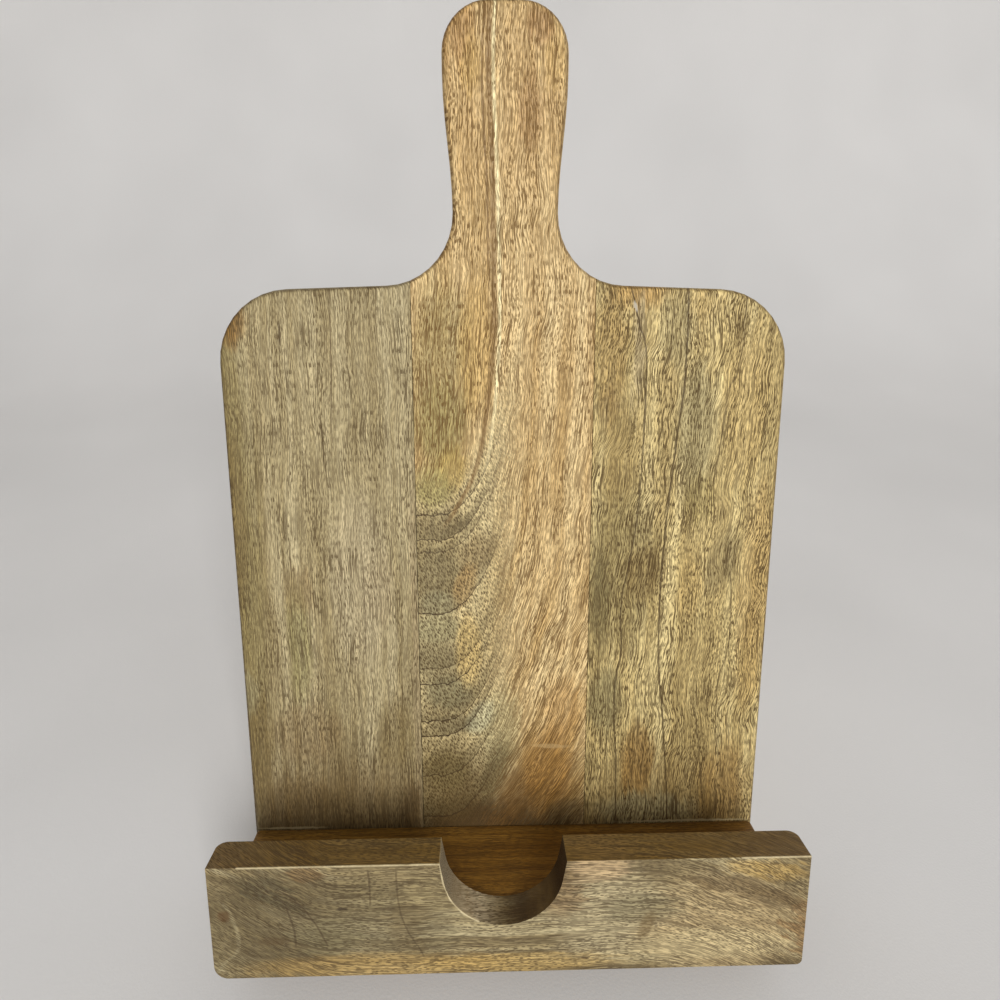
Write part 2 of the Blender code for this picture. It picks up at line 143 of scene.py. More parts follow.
class Tone(Output):
    """A colour or a vector that varies over a surface."""

    def toward(self, other: Union["Tone", Paint], share: Term) -> "Tone":
        """Mixes another colour in.

        Args:
            other: The other colour.
            share: How much of it, from 0 to 1.

        Returns:
            The mixed colour.
        """
        sockets = {"Factor": share, "A": self, "B": other}
        node = self.tree.node("ShaderNodeMix", {"data_type": "RGBA", "clamp_factor": True}, sockets)
        return Tone(self.tree, node.outputs[2])

    def lit(self, amount: Term) -> "Tone":
        """The colour made lighter or darker by a factor."""
        node = self.tree.node("ShaderNodeVectorMath", {"operation": "SCALE"}, {0: self, "Scale": amount})
        return Tone(self.tree, node.outputs[0])


class Tree:
    """A node tree, whose nodes all come from one method."""

    def __init__(self, graph: bpy.types.NodeTree) -> None:
        """Empties the tree that it is given."""
        self.graph = graph
        self.graph.nodes.clear()

    def node(self, kind: str, settings: dict, sockets: dict) -> bpy.types.Node:
        """Adds one node.

        Args:
            kind: Blender's name of the node's type.
            settings: The node's own settings, set first. "stops" are a ramp's places and colours,
                and "spots" are a curve's.
            sockets: What each input holds: an output of another node, a number, a word or a colour.

        Returns:
            The node.
        """
        node = self.graph.nodes.new(kind)
        for name, setting in settings.items():
            if name == "stops":
                self.fill_ramp(node.color_ramp, setting)
            elif name == "spots":
                self.fill_curve(node.mapping, setting)
            else:
                setattr(node, name, setting)
        for name, content in sockets.items():
            socket = self.socket_of(node, name)
            if isinstance(content, Output):
                self.graph.links.new(content.socket, socket)
            elif isinstance(content, tuple) and len(socket.default_value) > len(content):
                socket.default_value = (*content, 1.0)
            else:
                socket.default_value = content
        return node

    @staticmethod
    def socket_of(node: bpy.types.Node, name: Union[str, int]) -> bpy.types.NodeSocket:
        """Finds the input that is in use under a name.

        Args:
            node: The node.
            name: The input's name or number.

        Returns:
            The input socket.
        """
        if isinstance(name, int):
            return node.inputs[name]
        return next(s for s in node.inputs if s.name == name and s.enabled)

    @staticmethod
    def fill_ramp(ramp: bpy.types.ColorRamp, stops: Stops) -> None:
        """Sets a ramp's stops, which come in order of place."""
        while len(ramp.elements) < len(stops):
            ramp.elements.new(1.0)
        for element, (place, colour) in zip(ramp.elements, stops):
            element.position = place
            element.color = (*colour, 1.0)

    @staticmethod
    def fill_curve(mapping: bpy.types.CurveMapping, spots: list[tuple[float, float]]) -> None:
        """Sets the places that a curve passes, which come in order."""
        points = mapping.curves[0].points
        for place in spots[1:-1]:
            points.new(*place)
        points[0].location = spots[0]
        points[len(points) - 1].location = spots[-1]
        mapping.update()

    def step(self, kind: str, settings: dict, sockets: dict) -> Output:
        """Adds one node of which the first output is used."""
        return Output(self, self.node(kind, settings, sockets).outputs[0])

    def maths(self, operation: str, *terms: Term) -> Value:
        """One Math node on values and numbers."""
        node = self.node("ShaderNodeMath", {"operation": operation}, dict(enumerate(terms)))
        return Value(self, node.outputs[0])


class Shader(Tree):
    """The node tree of one material."""

    def __init__(self, name: str) -> None:
        """Starts an empty material of that name."""
        self.material = bpy.data.materials.new(name)
        self.material.use_nodes = True
        super().__init__(self.material.node_tree)

    def vector(self, x: Term, y: Term, z: Term) -> Tone:
        """Three values as one vector."""
        return Tone(self, self.node("ShaderNodeCombineXYZ", {}, {"X": x, "Y": y, "Z": z}).outputs[0])

    def position(self) -> Place:
        """Each point's place in the scene, in millimetres."""
        place = Tone(self, self.node("ShaderNodeTexCoord", {}, {}).outputs["Object"])
        return tuple(part * MILLIMETRES for part in self.parts(place))

    def parts(self, vector: Tone) -> Place:
        """A vector's three values."""
        node = self.node("ShaderNodeSeparateXYZ", {}, {"Vector": vector})
        return tuple(Value(self, output) for output in node.outputs)

    def dot(self, vector: Tone, direction: Vector) -> Value:
        """How far a vector points along a fixed direction."""
        sockets = {0: vector, 1: tuple(direction)}
        node = self.node("ShaderNodeVectorMath", {"operation": "DOT_PRODUCT"}, sockets)
        return Value(self, node.outputs["Value"])

    def noise(self, place: Tone, detail: float = 1.0, roughness: float = 0.5) -> Value:
        """Smooth noise about 0.5, with about one swell for each unit of the place."""
        sockets = {"Vector": place, "Scale": 1.0, "Detail": detail, "Roughness": roughness}
        return Value(self, self.node("ShaderNodeTexNoise", {}, sockets).outputs[0])

    def flecks(self, across: Term, along: Term, reach: float) -> Value:
        """Separate soft-edged flecks, one in each unit square, of unlike strength.

        Args:
            across: Each point's place across the flecks, in fleck spacings.
            along: Its place along them, in spacings.
            reach: How far a fleck reaches from its middle, in spacings.

        Returns:
            0 beside the flecks and up to 1 inside them.
        """
        sockets = {"Vector": self.vector(across, along, 0.0), "Scale": 1.0}
        node = self.node("ShaderNodeTexVoronoi", {"voronoi_dimensions": "2D"}, sockets)
        strength = self.parts(Tone(self, node.outputs["Color"]))[0]
        return Value(self, node.outputs["Distance"]).rise(reach, 0.5 * reach) * (0.5 + 0.5 * strength)

    def ramp(self, value: Value, stops: Stops) -> Tone:
        """A colour read from a row of stops by a value from 0 to 1."""
        node = self.node("ShaderNodeValToRGB", {"stops": stops}, {"Fac": value})
        return Tone(self, node.outputs["Color"])

    def curve(self, value: Value, route: tuple[tuple[float, float], ...]) -> Value:
        """Follows a smooth line through known places.

        Args:
            value: How far along the line each point of the surface is.
            route: The known places, each as how far along it is and what the line is there.

        Returns:
            What the line is at each point.
        """
        near, far = route[0][0], route[-1][0]
        least, most = min(place[1] for place in route) - 1, max(place[1] for place in route) + 1
        length, height = far - near, most - least
        spots = [((along - near) / length, (there - least) / height) for along, there in route]
        node = self.node("ShaderNodeFloatCurve", {"spots": spots}, {"Value": (value - near) / length})
        return Value(self, node.outputs[0]) * height + least

    def finish(
        self, colour: Tone, roughness: Term, height: Value, depth: float, **fixed: float
    ) -> bpy.types.Material:
        """Joins colour, roughness and relief to the surface shader.

        Args:
            colour: The surface's colour.
            roughness: Its roughness.
            height: Its relief, in units of depth.
            depth: The relief's depth in metres.
            fixed: Values of other sockets that are the same all over, named with _ for a space.

        Returns:
            The finished material.
        """
        bump = self.step("ShaderNodeBump", {}, {"Strength": 1.0, "Distance": depth, "Height": height})
        sockets = {"Base Color": colour, "Roughness": roughness, "Normal": bump}
        sockets.update({name.replace("_", " "): number for name, number in fixed.items()})
        surface = self.step("ShaderNodeBsdfPrincipled", {}, sockets)
        self.node("ShaderNodeOutputMaterial", {}, {"Surface": surface})
        return self.material


class Way(Enum):
    """Which way the grain runs: the numbers of the axes across it, through it and along it."""

    UPWARDS = (0, 1, 2)
    SIDEWAYS = (2, 1, 0)
    BACKWARDS = (0, 2, 1)


@dataclass(frozen=True)
class Axes:
    """The axes that a piece is worked in, tilted about X.

    Attributes:
        origin: Where the axes start, in metres in the scene.
        tilt: How far the upward axis leans back, in radians.
    """

    origin: Vector
    tilt: float

    def place(self, shader: Shader) -> Place:
        """Each point's place in these axes, in millimetres: sideways, backwards and upwards."""
        start = Matrix.Rotation(self.tilt, 3, "X") @ self.origin * -MILLIMETRES
        sockets = {
            "Vector": Tone(shader, shader.node("ShaderNodeTexCoord", {}, {}).outputs["Object"]),
            "Location": tuple(start),
            "Rotation": (self.tilt, 0.0, 0.0),
            "Scale": (MILLIMETRES, MILLIMETRES, MILLIMETRES),
        }
        return shader.parts(Tone(shader, shader.node("ShaderNodeMapping", {}, sockets).outputs[0]))

    def facing(self, shader: Shader) -> Place:
        """How far the surface faces sideways, backwards and upwards in these axes, from -1 to 1."""
        turn = Matrix.Rotation(-self.tilt, 3, "X")
        normal = Tone(shader, shader.node("ShaderNodeTexCoord", {}, {}).outputs["Normal"])
        return tuple(shader.dot(normal, turn.col[number]) for number in range(3))


@dataclass(frozen=True)
class Patch:
    """A soft-edged patch of colour on the front of a piece, used for stains and for painted shade, in
    millimetres.

    Attributes:
        aside: Its middle, sideways.
        up: Its middle, upwards.
        wide: How far it reaches sideways.
        tall: How far it reaches upwards.
        colour: Its colour.
        strength: How much it covers, from 0 to 1.
        turn: How far it is turned anticlockwise, in degrees.
    """

    aside: float
    up: float
    wide: float
    tall: float
    colour: Paint
    strength: float
    turn: float = 0.0

    def mask(self, aside: Value, up: Value) -> Value:
        """Draws the patch.

        Args:
            aside: Each point's place sideways.
            up: Its height.

        Returns:
            How much the patch covers each point.
        """
        x, z = aside - self.aside, up - self.up
        if self.turn:
            cosine, sine = math.cos(math.radians(self.turn)), math.sin(math.radians(self.turn))
            x, z = x * cosine + z * sine, z * cosine - x * sine
        x, z = x / self.wide, z / self.tall
        return (x * x + z * z).rise(1.0, 0.15) * self.strength


@dataclass(frozen=True)
class Vein:
    """A line of another colour that the eye can follow through the figure, in millimetres.

    Attributes:
        route: The places that it passes, each upwards then sideways, from its foot to its top.
        width: Its half width.
        colour: Its colour.
        strength: How much it covers, from 0 to 1.
        fade: How far from each end it fades out.
    """

    route: tuple[tuple[float, float], ...]
    width: float
    colour: Paint
    strength: float
    fade: float = 9.0

    def mask(self, shader: Shader, aside: Value, up: Value) -> Value:
        """Draws the vein.

        Args:
            shader: The shader it goes into.
            aside: Each point's place sideways.
            up: Its height.

        Returns:
            How much the vein covers each point.
        """
        low, high = self.route[0][0], self.route[-1][0]
        off = abs(aside - shader.curve(up, self.route))
        ends = up.rise(low, low + self.fade) * up.rise(high, high - self.fade)
        return off.rise(self.width, self.width * 0.25) * ends * self.strength


@dataclass(frozen=True)
class Rim:
    """A painted highlight along an arris that catches the light, in millimetres.

    Attributes:
        route: The places that it passes, each sideways, backwards and upwards.
        width: Its half width.
        colour: Its colour.
        strength: How much it covers, from 0 to 1.
    """

    route: tuple[tuple[float, float, float], ...]
    width: float
    colour: Paint
    strength: float

    def mask(self, place: Place) -> Value:
        """How much the rim covers each point."""
        corners = [Vector(corner) for corner in self.route]
        reaches = [self.reach(place, start, end - start) for start, end in zip(corners, corners[1:])]
        return functools.reduce(Value.at_most, reaches).rise(self.width ** 2, 0.0) * self.strength

    @staticmethod
    def reach(place: Place, start: Vector, run: Vector) -> Value:
        """How far each point is from one straight stretch, squared.

        Args:
            place: The point's place.
            start: Where the stretch starts.
            run: How far it goes on each axis.

        Returns:
            The squared distance.
        """
        away = [part - begin for part, begin in zip(place, start)]
        share = sum(part * (step / run.length_squared) for part, step in zip(away, run))
        share = share.at_least(0).at_most(1)
        aside = (part - share * step for part, step in zip(away, run))
        return sum(part * part for part in aside)


@dataclass(frozen=True)
class Bowl:
    """The wall of a round notch, with painted light on its left side and painted shade on its right, in
    millimetres.

    Attributes:
        aside: The notch's middle, sideways.
        up: The height of its middle.
        reach: How far its wall is from its middle at most.
        painted_lit_side: The colour painted on the left side as light.
        painted_shaded_side: The colour painted on the right side as shade.
        brim: How far its wall goes up past its middle.
    """

    aside: float
    up: float
    reach: float
    painted_lit_side: Paint
    painted_shaded_side: Paint
    brim: float = 4.4

    def coat(self, tone: Tone, aside: Value, up: Value, facing: Place) -> Tone:
        """Paints light on the wall's left side and shade on its right.

        Args:
            tone: The wood's colour so far.
            aside: Each point's place sideways.
            up: Its height.
            facing: How the surface faces.

        Returns:
            The colour with the wall's own.
        """
        x, z = aside - self.aside, up - self.up
        wall = abs(facing[1]).rise(0.8, 0.5) * (x * x + z * z).rise(self.reach ** 2 + 30, self.reach ** 2)
        wall = wall * z.rise(self.brim + 0.9, self.brim)
        # Painted light on the left side of the wall, painted shade on its right.
        tone = tone.toward(self.painted_lit_side, wall * x.rise(4, -16) * 0.8)
        return tone.toward(self.painted_shaded_side, wall * x.rise(-16, 12) * 0.9)


@dataclass(frozen=True)
class Rings:
    """Growth rings that open upwards beside a glue joint and run out into straight grain, in millimetres.

    Attributes:
        start: Where the arcs have their lowest point, sideways.
        end: Where they have run out into the grain.
        levels: The heights of the lowest points from the bottom one up, each with its line's darkness.
        shades: The darker bands between them, each as its foot, its top and its darkness.
        curl: How fast an arc rises near its lowest point, for each centimetre sideways squared.
        steepening: How much faster it rises further out.
        low: The height that the rings start from.
        high: The height that they end at.
        line: The colour of a ring's line.
        shade: The colour of a band.
        ground: The colour of the wood between them.
        mark: The colour of the short pores among them.
        half_line: Half the width of a ring's line.
    """

    start: float
    end: float
    levels: tuple[tuple[float, float], ...]
    shades: tuple[tuple[float, float, float], ...]
    curl: float
    steepening: float
    low: float
    high: float
    line: Paint
    shade: Paint
    ground: Paint
    mark: Paint
    half_line: float = 0.62

    def height(self, aside: Value, up: Value) -> Value:
        """The height of the lowest point of the arc through each point."""
        reach = (aside - self.start).at_least(0) / 10
        return up - reach * reach * (self.curl + reach * reach * self.steepening)

    def inside(self, aside: Value, height: Value) -> Value:
        """How far each point is among the rings and not in the straight grain."""
        ends = height.rise(self.low - 24, self.low + 6) * height.rise(self.high + 20, self.high - 4)
        return aside.rise(self.end, self.end - 30) * ends

    def lines(self, height: Value) -> Value:
        """How much the rings' lines cover each point."""
        drawn = [
            abs(height - level).rise(self.half_line, 0.1) * darkness
            for level, darkness in self.levels
        ]
        return functools.reduce(Value.at_least, drawn)

    def bands(self, shader: Shader, height: Value) -> Value:
        """Draws the darker bands, each darkest at its foot.

        Args:
            shader: The shader they go into.
            height: The height of the arc through each point.

        Returns:
            How much the bands cover each point.
        """
        span = self.high - self.low
        stops = [(0.0, (0.0, 0.0, 0.0))]
        for foot, top, darkness in self.shades:
            steps = ((foot, 0.0), (foot + 0.8, darkness), (top, 0.0))
            stops += [((level - self.low) / span, (share, share, share)) for level, share in steps]
        return shader.parts(shader.ramp((height - self.low) / span, stops))[0]

    def speckle(self, shader: Shader, aside: Value, up: Value) -> Value:
        """Draws the short pores between the rings, which lean to the left.

        Args:
            shader: The shader they go into.
            aside: Each point's place sideways.
            up: Its height.

        Returns:
            How much the pores cover each point.
        """
        side = aside + up * 0.35
        coarse = shader.flecks(side / 1.25, up / 2.5, 0.46)
        fine = shader.flecks(side / 0.95 + 5, up / 1.9, 0.36)
        return coarse.at_least(fine * 0.6)


@dataclass(frozen=True)
class Spot:
    """What a shader works out for each point of a piece of wood.

    Attributes:
        shader: The shader.
        place: The point's place in the piece's axes, in millimetres.
        facing: How far the surface faces along each of those axes.
        plank: Its place in the plank: across the grain, through the thickness and along the grain.
        grain: The same, followed along the straying grain.
        shake: A small unevenness, about 0.
    """

    shader: Shader
    place: Place
    facing: Place
    plank: Place
    grain: Place
    shake: Value

    def slanted(self) -> tuple[Value, Value]:
        """The point's place across and along the grain, slanted so that pores come out at the sides too."""
        across, through, along = self.grain
        return across + through * 0.8, along + through * 0.35


@dataclass(frozen=True)
class Timber:
    """Oiled wood with the figure of one plank.

    Attributes:
        name: The finish's name.
        axes: The axes of the piece.
        way: Which way the grain runs.
        pale: The colour of the palest bands.
        plain: The colour of most of the wood.
        deep: The colour of the darkest bands.
        pore: The colour of the pores.
        edge: The colour painted on the rounded edges: painted shade where it is dark, painted highlight
            where it is pale.
        seed: Moves the figure, so that no two planks are alike.
        top: The colour of its top, partly its own browner wood and partly painted shade.
        top_level: The height of its top, in millimetres.
        bowl: The wall of its notch.
        edging: How strongly the rounded edges take that painted colour, from 0 to 1.
        pores: How strongly the pores show, from 0 to 1.
        lines: How strongly the fine lines along the grain show.
        wander: How far the grain strays sideways, in millimetres.
        ripple: How far it waves over short lengths, in millimetres.
        dotted: How much of the wood has dots in place of long pores, from 0 to 1.
        swing: How the grain swings aside, as places along it with how far aside it has gone.
        patches: The stains on its front, feathered along the grain, with painted shade at the panel's foot.
        marks: The stains with a shape of their own, and a painted shadow on the centre plank.
        veins: The lines in the figure.
        rims: The arrises with painted highlights.
        rings: The growth rings.
        roughness: The roughness of the wood between its pores.
        pore_depth: How deep the pores are, in metres.
        FACE: From which to which share of its facing a point comes to lie on a face, off the edges.
        SIDE_PORES: How much fainter the pores are at the sides.
        THREAD: How dark a thread is beside a pore.
        END_SHADE: How much darker end grain is.
        PORE_ROUGHNESS: How much rougher a pore is than the wood.
    """

    FACE: ClassVar[tuple[float, float]] = (0.6, 0.95)
    SIDE_PORES: ClassVar[float] = 0.45
    THREAD: ClassVar[float] = 0.54
    END_SHADE: ClassVar[float] = 0.3
    PORE_ROUGHNESS: ClassVar[float] = 0.3

    name: str
    axes: Axes
    way: Way
    pale: Paint
    plain: Paint
    deep: Paint
    pore: Paint
    edge: Paint
    seed: float
    top: Union[Paint, None] = None
    top_level: float = 0.0
    bowl: Union[Bowl, None] = None
    edging: float = 0.6
    pores: float = 0.85
    lines: float = 1.0
    wander: float = 3.0
    ripple: float = 1.0
    dotted: float = 0.35
    swing: tuple[tuple[float, float], ...] = ()
    patches: tuple[Patch, ...] = ()
    marks: tuple[Patch, ...] = ()
    veins: tuple[Vein, ...] = ()
    rims: tuple[Rim, ...] = ()
    rings: Union[Rings, None] = None
    roughness: float = 0.46
    pore_depth: float = 0.0001

    def material(self) -> bpy.types.Material:
        """Builds the finish.

        Returns:
            The material.
        """
        spot = self.survey(Shader(self.name))
        end = abs(spot.facing[self.way.value[2]]).rise(*self.FACE)
        tone, pores, threads, glow = self.figure(spot)
        cut = spot.shader.flecks(spot.plank[0] / 0.9, spot.plank[1] / 0.9, 0.4)
        pores = pores + (cut - pores) * end
        tone = tone.lit(1 + glow * self.lines * (1 - end) - end * self.END_SHADE)
        dark = (threads * self.lines * (1 - end) * self.THREAD).at_least(pores * self.pores)
        tone = self.marks_and_painted_light(spot, tone.toward(self.pore, dark))
        roughness = self.roughness + dark * self.PORE_ROUGHNESS
        return spot.shader.finish(tone, roughness, glow - dark, self.pore_depth, Specular_IOR_Level=0.35)

    def survey(self, shader: Shader) -> Spot:
        """Works out where each point is, in the piece and in the wood.

        Args:
            shader: The shader that it goes into.

        Returns:
            The point's places.
        """
        place = self.axes.place(shader)
        plank = tuple(place[number] for number in self.way.value)
        across, through, along = plank
        stray = self.stray(shader, plank)
        grain = (across + stray, through + stray * 0.6, along)
        aside, back, up = place
        shake = shader.noise(shader.vector(aside / 3.2, back / 9 + self.seed, up / 3.2), 2.0) - 0.5
        return Spot(shader, place, self.axes.facing(shader), plank, grain, shake)

    def stray(self, shader: Shader, plank: Place) -> Value:
        """How far the grain has strayed aside from a straight line.

        Args:
            shader: The shader that it goes into.
            plank: Each point's place in the plank.

        Returns:
            The distance in millimetres.
        """
        across, through, along = plank
        wander = shader.noise(shader.vector(across / 45 + self.seed, through / 45, along / 110), 1.0) - 0.5
        ripple = shader.noise(shader.vector(across / 34, through / 34 + self.seed, along / 26), 1.0) - 0.5
        stray = wander * (4 * self.wander) + ripple * (4 * self.ripple)
        return stray + shader.curve(along, self.swing) if self.swing else stray

    def figure(self, spot: Spot) -> tuple[Tone, Value, Value, Value]:
        """Draws the figure: bands, stains, growth rings and veins.

        Args:
            spot: The point that is worked out.

        Returns:
            The wood's colour, how much pores and dark threads cover it, and how much lighter it is
            between them.
        """
        tone, pores = self.bands(spot), self.pore_mask(spot)
        pores = pores * (1 - abs(spot.facing[0]).rise(*self.FACE) * self.SIDE_PORES)
        threads, glow = self.fine_grain(spot)
        if self.rings is None:
            tone = self.stains_and_painted_shade(spot, tone, 1.0)
        else:
            aside, _, up = spot.place
            height = self.rings.height(aside, up + spot.shake * 3.6)
            inside = self.rings.inside(aside + spot.shake * 9, height)
            speckle = self.rings.speckle(spot.shader, aside + spot.shake, up) * inside
            tone = self.stains_and_painted_shade(spot, tone.toward(self.rings.ground, inside * 0.6), 1 - inside * 0.75)
            tone = tone.toward(self.rings.shade, self.rings.bands(spot.shader, height) * inside)
            tone = tone.toward(self.rings.mark, speckle * 0.9)
            tone = tone.toward(self.rings.line, self.rings.lines(height) * (0.2 + inside * 0.8))
            pores = pores * (1 - inside) + speckle * 0.3
            threads = threads * (1 - inside * 0.75)
        return self.veined(spot, tone), pores, threads, glow

    def bands(self, spot: Spot) -> Tone:
        """The bands of paler and deeper wood along the grain."""
        across, through, along = spot.grain
        place = spot.shader.vector(across / 8 + self.seed, through / 8, along / 230)
        stops = [(0.0, self.deep), (0.5, self.plain), (1.0, self.pale)]
        return spot.shader.ramp(spot.shader.noise(place, 3.0, 0.62).rise(0.27, 0.73), stops)

    def stains_and_painted_shade(self, spot: Spot, tone: Tone, loose: Term) -> Tone:
        """Lays on the stains, and the painted shade at the panel's foot, with edges that feather out along
        the grain.

        Args:
            spot: The point that is worked out.
            tone: The wood's colour so far.
            loose: How far the edges feather out, from 0 to 1.

        Returns:
            The stained colour.
        """
        aside, _, up = spot.place
        across, through, along = spot.grain
        place = spot.shader.vector(across / 3, through / 3 + self.seed, along / 24)
        feather = (spot.shader.noise(place, 3.0, 0.6) - 0.5) * loose
        wide, tall = (10, 24) if self.way is Way.UPWARDS else (36, 10)
        for patch in self.patches:
            tone = tone.toward(patch.colour, patch.mask(aside + feather * wide, up + feather * tall))
        return tone

    def veined(self, spot: Spot, tone: Tone) -> Tone:
        """Draws the veins, darkens the top, partly as painted shade, and paints light and shade on the wall
        of the notch.

        Args:
            spot: The point that is worked out.
            tone: The wood's colour so far.

        Returns:
            The colour with them.
        """
        aside, _, up = spot.place
        for vein in self.veins:
            tone = tone.toward(vein.colour, vein.mask(spot.shader, aside + spot.shake * 0.8, up))
        if self.top is not None:
            # The top is darkened, partly for its browner wood and partly as painted shade.
            shelf = spot.facing[2].rise(*self.FACE) * up.rise(self.top_level - 2, self.top_level - 0.6)
            tone = tone.toward(self.top, shelf * 0.88)
        if self.bowl is not None:
            tone = self.bowl.coat(tone, aside, up, spot.facing)
        return tone

    def marks_and_painted_light(self, spot: Spot, tone: Tone) -> Tone:
        """Lays the marks over the grain: shaped stains, a painted shadow, painted shade and highlight on the
        rounded edges, and painted highlights on the arrises.

        Args:
            spot: The point that is worked out.
            tone: The wood's colour so far.

        Returns:
            The colour with them.
        """
        aside, _, up = spot.place
        for mark in self.marks:
            front = spot.facing[1].rise(-0.2, -0.7)
            shown = mark.mask(aside + spot.shake * 2, up + spot.shake * 1.4) * front
            tone = tone.toward(mark.colour, shown)
        # The rounded edges take the edge colour as painted shade where it is dark, and as painted highlight
        # where it is pale.
        tone = tone.toward(self.edge, self.painted_arris_shade_and_highlight(spot))
        # Painted highlights along the arrises that catch the light.
        for rim in self.rims:
            tone = tone.toward(rim.colour, rim.mask(spot.place) * (1 + spot.shake * 2))
        return tone

    def fine_grain(self, spot: Spot) -> tuple[Value, Value]:
        """The fine lines and hairs along the grain.

        Args:
            spot: The point that is worked out.

        Returns:
            How much dark threads cover each point, and how much lighter the wood between them is.
        """
        noise, vector = spot.shader.noise, spot.shader.vector
        through = spot.grain[1]
        side, run = spot.slanted()
        thread = noise(vector(side / 0.46 + self.seed, run / 24, through / 30), 1.0)
        hair = noise(vector(side / 0.43, run / 3.4 + self.seed, through / 30), 0.0)
        streak = noise(vector(side / 1.9, run / 80 + self.seed, through / 30), 1.0)
        glow = thread.rise(0.54, 0.64) * 0.18 + hair.rise(0.54, 0.64) * 0.16 + streak.rise(0.5, 0.66) * 0.1
        calm = noise(vector(side / 9, run / 38, self.seed), 1.0).rise(0.42, 0.58)
        return thread.rise(0.46, 0.38).at_least(hair.rise(0.43, 0.35)) * (1.0 - calm * 0.35), glow

    def pore_mask(self, spot: Spot) -> Value:
        """Where the pores lie: long thin ones, and dots where the grain dips under the surface."""
        across, through, along = spot.grain
        place = spot.shader.vector(across / 11, through / 11, along / 60 + self.seed)
        middle = 0.5 + (0.5 - self.dotted) * 0.4
        dots = spot.shader.noise(place, 2.0).rise(middle - 0.06, middle + 0.06)
        side, run = spot.slanted()
        long = spot.shader.flecks(side / 1.6 + self.seed, run / 24, 0.23)
        short = spot.shader.flecks(side / 1.1, run / 6, 0.28)
        dotted = spot.shader.flecks(side + self.seed, run / 3.4, 0.35)
        return long.at_least(short * (0.6 + dots)) * (1 - dots) + dotted * dots

    def painted_arris_shade_and_highlight(self, spot: Spot) -> Value:
        """How much each point of the rounded edges takes of the edge colour: painted shade where it is dark,
        painted highlight where it is pale.
        """
        slope = 1 - functools.reduce(Value.at_least, [abs(part) for part in spot.facing])
        return slope.rise(0.03, 0.2) * (0.8 + spot.shake * 1.6) * self.edging


@dataclass(frozen=True)
class Plated:
    """Dull plated metal, brushed faintly and darker where hands have touched it.

    Attributes:
        name: The finish's name.
        bright: The colour of the clean plating.
        dull: The colour of the tarnish.
        roughness: The roughness of the clean plating.
        relief: How deep its brushing is, in metres.
    """

    name: str
    bright: Paint
    dull: Paint
    roughness: float
    relief: float = 0.00003

    def material(self) -> bpy.types.Material:
        """Builds the finish.

        Returns:
            The material.
        """
        shader = Shader(self.name)
        x, y, z = shader.position()
        tarnish = shader.noise(shader.vector(x / 3, y / 3, z / 3), 3.0, 0.6).rise(0.4, 0.7)
        brushed = shader.noise(shader.vector(x / 9, y / 0.25, z / 0.25), 1.0)
        tone = shader.ramp(tarnish, [(0.0, self.bright), (1.0, self.dull)])
        roughness = self.roughness + tarnish * 0.22 + (brushed - 0.5) * 0.2
        return shader.finish(tone, roughness, brushed + tarnish * 0.4, self.relief, Metallic=1.0)


@dataclass(frozen=True)
class Backcloth:
    """The pale floor and backdrop.

    Attributes:
        name: The finish's name.
        pale: The colour of most of it.
        shaded: The colour of its faint clouds.
        roughness: Its roughness.
        relief: How deep its weave is, in metres.
    """

    name: str
    pale: Paint
    shaded: Paint
    roughness: float = 0.85
    relief: float = 0.0001

    def material(self) -> bpy.types.Material:
        """Builds the finish.

        Returns:
            The material.
        """
        shader = Shader(self.name)
        x, y, z = shader.position()
        cloud = shader.noise(shader.vector(x / 260, y / 260, z / 260), 2.0)
        tooth = shader.noise(shader.vector(x / 1.5, y / 1.5, z / 1.5), 2.0)
        tone = shader.ramp(cloud, [(0.3, self.pale), (0.7, self.shaded)])
        return shader.finish(tone, self.roughness + (tooth - 0.5) * 0.1, tooth, self.relief)


class Smoother:
    """Joins a CAD mesh's loose faces in a modifier and smooths them up to a crease angle."""

    NAME: ClassVar[str] = "smooth_cad_faces"
    SAME_PLACE: ClassVar[float] = 1e-6

    def __init__(self, crease: float = math.radians(32)) -> None:
        """Builds the node group that every piece shares.

        Args:
            crease: Edges sharper than this stay sharp, in radians.
        """
        self.group = bpy.data.node_groups.new(self.NAME, "GeometryNodeTree")
        for way in ("INPUT", "OUTPUT"):
            self.group.interface.new_socket("Geometry", in_out=way, socket_type="NodeSocketGeometry")
        tree = Tree(self.group)
        mesh = tree.step("NodeGroupInput", {}, {})
        mesh = tree.step("GeometryNodeMergeByDistance", {}, {"Geometry": mesh, "Distance": self.SAME_PLACE})
        mesh = tree.step("GeometryNodeRemoveAttribute", {}, {"Geometry": mesh, "Name": "custom_normal"})
        mesh = tree.step("GeometryNodeSetShadeSmooth", {}, {"Geometry": mesh})
        angle = tree.step("GeometryNodeInputMeshEdgeAngle", {}, {})
        soft = tree.step("FunctionNodeCompare", {"operation": "LESS_EQUAL"}, {0: angle, 1: crease})
        sockets = {"Geometry": mesh, "Shade Smooth": soft}
        mesh = tree.step("GeometryNodeSetShadeSmooth", {"domain": "EDGE"}, sockets)
        tree.node("NodeGroupOutput", {}, {0: mesh})

    def smooth(self, piece: bpy.types.Object) -> None:
        """Smooths a piece, with its flat faces kept flat."""
        piece.modifiers.new(self.NAME, "NODES").node_group = self.group
        even = piece.modifiers.new("even_shading", "WEIGHTED_NORMAL")
        even.keep_sharp = True


@dataclass
class Workshop:
    """Where the CAD pieces get their finishes.

    Attributes:
        nodes: The CAD pieces by name.
        smoother: What smooths them.
    """

    nodes: dict[str, bpy.types.Object]
    smoother: Smoother = field(default_factory=Smoother)

    def dress(self, material: bpy.types.Material, *names: str) -> None:
        """Gives CAD pieces a finish and smooth shading.

        Args:
            material: The finish.
            names: The pieces' node names.
        """
        for name in names:
            piece = self.nodes[name]
            for slot in piece.material_slots:
                slot.material = material
            self.smoother.smooth(piece)
            LOG.info("%s: %s", name, material.name)


